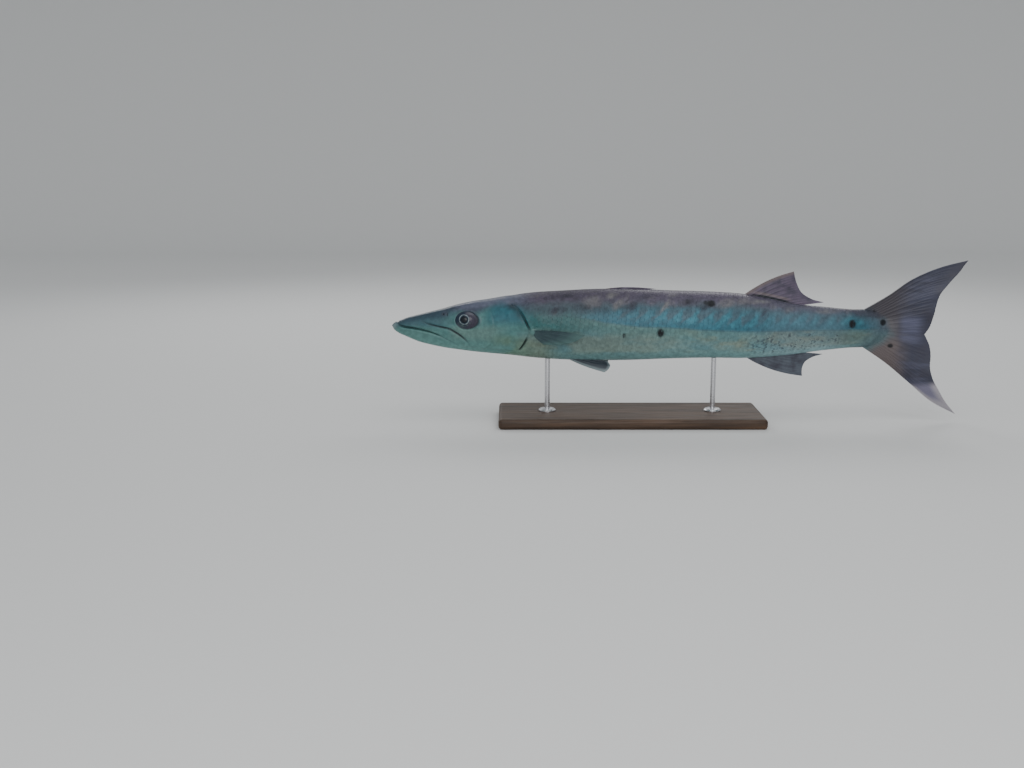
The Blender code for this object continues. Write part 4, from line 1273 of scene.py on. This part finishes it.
def fin_points(root, edge, rays, thickness, bends=(STRAIGHT, STRAIGHT), sway=0.0, rows=56, forks=2,
               tip_share=0.16, last_leads=False):
    """A fin's middle grid in its own plane, X along the fish and Z up, half its thickness, and masks."""
    columns = (rays - 1) * SAMPLES_PER_RAY + 1
    u, v = np.meshgrid(np.linspace(0, 1, columns), np.linspace(0, 1, rows) ** 0.9)
    start, end = along_line(root, u[0])[None], along_line(edge, u[0])[None]
    crest = ray_height(u, v, rays, forks)
    frayed = 0.35 + 0.65 * np.abs(np.sin(u * (rays - 1) * 5.1 + 1.3 * np.sin(u * 37)))
    reach = 1 - NOTCH * (1 - crest) * frayed
    ray = (end - start) * np.where(v > 0.9, 1 - (1 - reach) * fade(v, 0.9, 1.0), 1.0)[..., None]
    across = np.stack([-ray[..., 1], ray[..., 0]], axis=-1)
    across /= np.maximum(np.linalg.norm(across, axis=-1, keepdims=True), 1e-9)
    quarters = np.linspace(0, 1, 5)
    first, last = [smooth_curve(quarters, np.array([0, *bend, 0]), v) for bend in bends]
    bow = first * (1 - u) ** 2 + last * u ** 2
    flat = start + ray * v[..., None] + across * bow[..., None]
    ripple = RIPPLE * np.sin(u * (rays - 1) * 2.1 + 0.7) * v ** 1.5 * fade(np.abs(2 * u - 1), 1.0, 0.8)
    from_front = 1 - u if last_leads else u
    lean = sway * v * v * np.sin(np.pi * (0.15 + 0.85 * from_front)) + ripple
    body = thickness * (1 - (1 - tip_share) * v ** 0.8)
    ribbed = RIBBING * (0.25 + 0.75 * fade(v, 0.04, 0.42))
    half = 0.5 * body * (1 - ribbed * (1 - crest)) * (1 + LEADING_SWELL * bump(from_front, 1.2 / rays))
    half = np.maximum(np.maximum(half, THINNEST) * fade(v, 1.02, 0.985), THINNEST_EDGE)
    return np.stack([flat[..., 0], lean, flat[..., 1]], axis=-1), half, {"crest": crest, "out": v, "over": u}


print("points across a fin of 12 rays:", 11 * SAMPLES_PER_RAY + 1)

# %% [markdown]
# Both faces of a fin and the rim between them are made together, so every fin is a closed sheet.
# It is shaped flat, as if laid on a table, and then turned and moved to its place, because a
# flat shape can be read straight off a side view.

# %% Make a fin
def sheet_mesh(centre, half, masks):
    """A closed sheet from its middle grid and half thickness: two faces and a rim."""
    aside = np.array([0.0, 1.0, 0.0]) * half[..., None]
    count, rim = half.size, grid_rim(*half.shape)
    after = np.roll(rim, -1)
    quads = grid_faces(*half.shape)
    edge = np.stack([rim, rim + count, after + count, after], axis=-1)
    points = np.concatenate([(centre - aside).reshape(-1, 3), (centre + aside).reshape(-1, 3)])
    faces = np.concatenate([quads, quads[:, ::-1] + count, edge])
    return points, faces, {name: np.tile(values.ravel(), 2) for name, values in masks.items()}


def foot_line(s, z):
    """The painted shade at the foot of the second dorsal fin, and the painted highlight just over it."""
    above = z - station(np.minimum(s, BODY_END), BACK)
    held = along_groove(s, z)
    return 0.95 * held * fade(above, 0.0028, 0.0016), held * bump(above - 0.0048, 0.0024)


def fin(name, root, edge, paint, place=(0.0, 0.0, 0.0), turn=(0.0, 0.0, 0.0), **shape):
    """A finished fin, moved to its place and turned."""
    points, faces, masks = sheet_mesh(*fin_points(root, edge, **shape))
    points = points @ np.array(Euler(np.radians(turn)).to_matrix()).T + np.array(place)
    s, y, z = points.T
    # the painted shade at the foot and the painted highlight over it
    foot, over_foot = foot_line(s, z)
    masks.update(along=s, height=z, blotch=blotches(s, y, z), tail_place=tail_place(s, z), foot=foot,
                 over_foot=over_foot)
    made = mesh_object(name + "_rayed", points, faces, masks, paint)
    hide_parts(name)
    print(name, shape["rays"], "rays,", 2 * len(faces), "triangles")


print("faces of a sheet of 3 by 4 points:", len(sheet_mesh(np.zeros((3, 4, 3)), np.ones((3, 4)), {})[1]))

# %% [markdown]
# The fins are grey violet, slate or dark green, and the tail is the most colourful of them. Its
# base takes the colour of the flesh, pale streaks run out from it, the middle has a pale heart,
# and the lower tip is violet with broad white edges.

# %% Colours of the fins
FIN_VIOLET = (0.112, 0.086, 0.132)
FIN_SLATE = (0.094, 0.112, 0.138)
FIN_PALE = (0.090, 0.094, 0.150)
FIN_DARK = (0.036, 0.035, 0.052)
TAIL_VIOLET = (0.034, 0.037, 0.061)
TAIL_WHITE = (0.310, 0.290, 0.320)
TIP_VIOLET = (0.156, 0.148, 0.210)
PECTORAL_GREEN = (0.026, 0.054, 0.060)
PECTORAL_DARK = (0.015, 0.030, 0.042)
PECTORAL_TIP = (0.058, 0.120, 0.112)
PELVIC_SLATE = (0.032, 0.042, 0.054)
PELVIC_DARK = (0.020, 0.028, 0.038)
# tan for the dorsal fins' leading edges, and for the painted highlight over the second dorsal fin's foot
EDGE_TAN_AND_HIGHLIGHT = (0.165, 0.132, 0.130)
EDGE_PALE = (0.200, 0.245, 0.255)


def tail_colour(paint, colour, cloud):
    """The tail's own tints over the fin colour: pale streaks and heart, base, white lower tip."""
    streak = paint.noise(0.012, along=6.0)
    heart = paint.zone(("along", 0.874, 0.890), ("along", 0.930, 0.905), ("height", -0.040, -0.018),
                       ("height", 0.024, 0.004), (streak, 0.30, 0.62, 0.3, 0.9))
    base = paint.zone((paint.plus("along", cloud, 0.03), 0.920, 0.880), paint.math("SUBTRACT", 0.85, heart))
    base = paint.zone(base, ("tail_place", 0.884, 0.868), way="MAXIMUM")
    edges = paint.zone(("over", 0.86, 0.97), ("out", 0.84, 0.97), ("height", -0.122, -0.140), way="MAXIMUM")
    tip = paint.coats(TIP_VIOLET, (TAIL_WHITE, edges))
    return paint.coats(
        colour,
        (FIN_PALE, (streak, 0.50, 0.68), ("along", 0.860, 0.885), ("along", 0.965, 0.925, 0.0, 0.28)),
        (FIN_PALE, heart),
        (tail_base(paint), base),
        (tip, (paint.plus("height", "along", -0.10), -0.190, -0.204, 0.0, 0.95)))


print("tints of the tail, dark and light:", TAIL_VIOLET, TAIL_WHITE)

# %% [markdown]
# One recipe paints every fin. The rays are a little darker than the membrane between them, some
# edges are pale, and fine cross lines mark the joints of the soft rays. The second dorsal fin has
# painted shade at its foot, with a thin painted highlight over it. The rays also shine a little
# more than the membrane, which is what makes them show in a soft light.

# %% Paint of the fins
RAY_JOINTS = 34.0


def fin_paint(name, web, ray, tail=False, lead=None, lead_width=0.10, trail=None, far=None):
    """A fin's paint. lead and trail colour its edges and far its outer half, if given."""
    paint = Palette(name)
    cloud = paint.noise(0.018, 4.0)
    colour = paint.coats(web, (ray, (cloud, 0.30, 0.80)),
                         (ray, ("crest", 0.25, 0.9, 0.0, 0.40), ("out", 0.08, 0.45, 0.15, 1.0)))
    if tail:
        colour = tail_colour(paint, colour, cloud)
    edges = [(far, ("out", 0.50, 1.0, 0.0, 0.75)), (lead, ("over", lead_width, 0.2 * lead_width, 0.0, 0.80)),
             (trail, ("out", 0.90, 0.99, 0.0, 0.70))]
    joints = paint.math("PINGPONG", paint.math("MULTIPLY", "out", RAY_JOINTS), 0.5)
    colour = paint.coats(
        colour,
        *[layer for layer in edges if layer[0]],
        # a painted highlight over the second dorsal fin's foot, and painted shade at the foot itself
        (EDGE_TAN_AND_HIGHLIGHT, "over_foot", 0.65),
        (SHADE_BLACK, "foot"),
        (FIN_DARK, (joints, 0.10, 0.0, 0.0, 0.35), "crest", ("out", 0.3, 0.5)))
    if tail:
        colour = paint.coats(colour, (BLOTCH_BLACK, "blotch"))
    return paint.finish(colour, paint.ramp("crest", 0.0, 1.0, 0.50, 0.36),
                        paint.relief(paint.noise(0.0015, 2.0), 0.0003, 0.30), specular=0.32)


DORSAL = fin_paint("fin_violet", FIN_VIOLET, FIN_DARK, lead=EDGE_TAN_AND_HIGHLIGHT)
ANAL = fin_paint("fin_slate", FIN_SLATE, FIN_DARK)
TAIL = fin_paint("tail_violet", TAIL_VIOLET, FIN_DARK, tail=True)
PECTORAL = fin_paint("fin_green", PECTORAL_GREEN, PECTORAL_DARK, far=PECTORAL_TIP)
PELVIC = fin_paint("fin_slate_edged", PELVIC_SLATE, PELVIC_DARK, lead=EDGE_PALE, lead_width=0.30,
                   trail=EDGE_PALE)
print("nodes in the tail's paint:", len(TAIL.node_tree.nodes))

# %% [markdown]
# The first dorsal fin is folded down along the back, as a barracuda keeps it while it cruises,
# so only a low ridge of five spines shows. The second dorsal and the anal fin stand opposite
# each other far back, each with a curved leading edge and a long trailing corner. The roots of
# all three are sunk into the body, so no gap can open between fin and skin.

# %% Fins on the back and belly
def root_at(places, column, sink):
    """A fin's root line at distances along the back or the belly, sunk into the body."""
    return [(x, float(station(x, column)) + sink) for x in places]


fin("first_dorsal_fin", root_at((0.346, 0.366, 0.386, 0.402), BACK, -0.004),
    [(0.398, 0.0660), (0.424, 0.0657), (0.442, 0.0643), (0.458, 0.0630)], DORSAL,
    rays=5, thickness=0.0034, bends=((0.0008, 0.0010, 0.0008), STRAIGHT), rows=40, forks=0)
fin("second_dorsal_fin", root_at((0.604, 0.634, 0.664, 0.692), BACK, -0.006),
    [(0.6945, 0.0930), (0.7000, 0.0740), (0.7100, 0.0560), (0.7260, 0.0455), (0.7480, 0.0395)], DORSAL,
    rays=10, thickness=0.0030, bends=((0.0038, 0.0055, 0.0042), STRAIGHT), sway=0.006)
fin("anal_fin", root_at((0.608, 0.636, 0.664, 0.692), BELLY, 0.006),
    [(0.7160, -0.0905), (0.7165, -0.0760), (0.7220, -0.0650), (0.7340, -0.0570), (0.7500, -0.0510)], ANAL,
    rays=10, thickness=0.0030, bends=((-0.0050, -0.0068, -0.0050), STRAIGHT), sway=0.006)

# %% [markdown]
# The paired fins are fans on short stalks. The pectoral lies close along the flank just behind
# the gill slit, and the pelvic hangs under the belly, splayed a little outwards. One recipe
# makes both sides, mirrored by the sign of the side.

# %% Paired fins
for side, word in ((-1, "left"), (1, "right")):
    fin("pectoral_fin_" + word, [(0.0000, 0.0000), (0.0012, -0.0030), (0.0026, -0.0060), (0.0040, -0.0092)],
        [(0.0940, -0.0035), (0.0820, -0.0125), (0.0620, -0.0195), (0.0380, -0.0225), (0.0215, -0.0235)],
        PECTORAL, place=(0.2424, side * 0.0408, -0.0035), turn=(0, 0, side * 17.0), rays=13,
        thickness=0.0024, bends=((0.0016, 0.0022, 0.0016), (-0.0008, -0.0010, -0.0008)), sway=side * 0.005)
    fin("pelvic_fin_" + word, [(0.0000, 0.0000), (0.0050, 0.0005), (0.0100, 0.0008), (0.0160, 0.0010)],
        [(0.0640, -0.0262), (0.0705, -0.0215), (0.0740, -0.0150), (0.0705, -0.0075), (0.0630, -0.0042)],
        PELVIC, place=(0.3040, side * 0.0140, -0.0560), turn=(side * 28.0, 0, 0), rays=6,
        thickness=0.0024, bends=((-0.0015, -0.0020, -0.0015), (0.0008, 0.0010, 0.0008)), sway=side * 0.003)

# %% [markdown]
# The tail is deeply forked, with stiff pointed lobes. Each lobe fans from the rounded end of the
# body, and its outer rays are the thickest because they take the load of each stroke. The whole
# fin leans a little to one side, as it does in a slow swimming beat.

# %% Tail fin
TAIL_MIDDLE = (0.828, -0.0060)
OVERLAP = 0.0008
LOBE = {"rays": 12, "thickness": 0.0056, "sway": -0.010, "rows": 80, "tip_share": 0.12}

fin("tail_fin_upper",
    [(0.818, 0.0262), (0.825, 0.0160), (0.828, 0.0050), (TAIL_MIDDLE[0], TAIL_MIDDLE[1] - OVERLAP)],
    [(0.9916, 0.1128), (0.9750, 0.0915), (0.9570, 0.0705), (0.9460, 0.0560), (0.9405, 0.0360),
     (0.9370, 0.0150), (0.9325, -0.0040), (0.9250, -0.0160 - OVERLAP)],
    TAIL, bends=((0.0040, 0.0118, 0.0098), STRAIGHT), **LOBE)
fin("tail_fin_lower", [TAIL_MIDDLE, (0.828, -0.0160), (0.824, -0.0270), (0.816, -0.0372)],
    [(0.9250, -0.0160), (0.9330, -0.0330), (0.9365, -0.0520), (0.9360, -0.0750),
     (0.9410, -0.0930), (0.9500, -0.1090), (0.9650, -0.1330), (0.9867, -0.1580)],
    TAIL, bends=(STRAIGHT, (0.0012, -0.0024, -0.0065)), last_leads=True, **LOBE)

# %% [markdown]
# ## The stand
#
# The stand stays quiet: a dark stained board and two thin steel rods. The solids already have
# the right shapes, so they only get their finishes. Wood grain is noise stretched along the
# board, and brushed steel is noise stretched round the rod.

# %% Finish the stand
WOOD_DARK, WOOD_LIGHT, WOOD_PORE = (0.030, 0.017, 0.010), (0.085, 0.048, 0.028), (0.015, 0.008, 0.005)
STEEL = (0.58, 0.58, 0.60, 1.0)


def wood_finish():
    paint = Palette("walnut_satin")
    pores = paint.noise(0.0016, 2.0, 25.0)
    colour = paint.coats(WOOD_DARK, (WOOD_LIGHT, (paint.noise(0.010, 4.0, 16.0), 0.30, 0.70)),
                         (WOOD_PORE, (pores, 0.62, 0.72, 0.0, 0.6)))
    return paint.finish(colour, paint.ramp(pores, 0.3, 0.7, 0.46, 0.62), paint.relief(pores, 0.0004, 0.35),
                        specular=0.30, coat=0.06, coat_roughness=0.40)


def steel_finish():
    paint = Palette("steel_brushed")
    lines = paint.noise(0.0008, 2.0, 8.0, 8.0)
    return paint.finish(STEEL, paint.ramp(lines, 0.3, 0.7, 0.24, 0.40), paint.relief(lines, 0.0002, 0.20),
                        metallic=1.0)


for node, finish in (("stand_base", wood_finish()), ("stand_rod_front", steel_finish()),
                     ("stand_rod_rear", steel_finish())):
    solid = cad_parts[node]
    solid.data.materials.clear()
    solid.data.materials.append(finish)
print("stand:", [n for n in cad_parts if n.startswith("stand_")])

# %% [markdown]
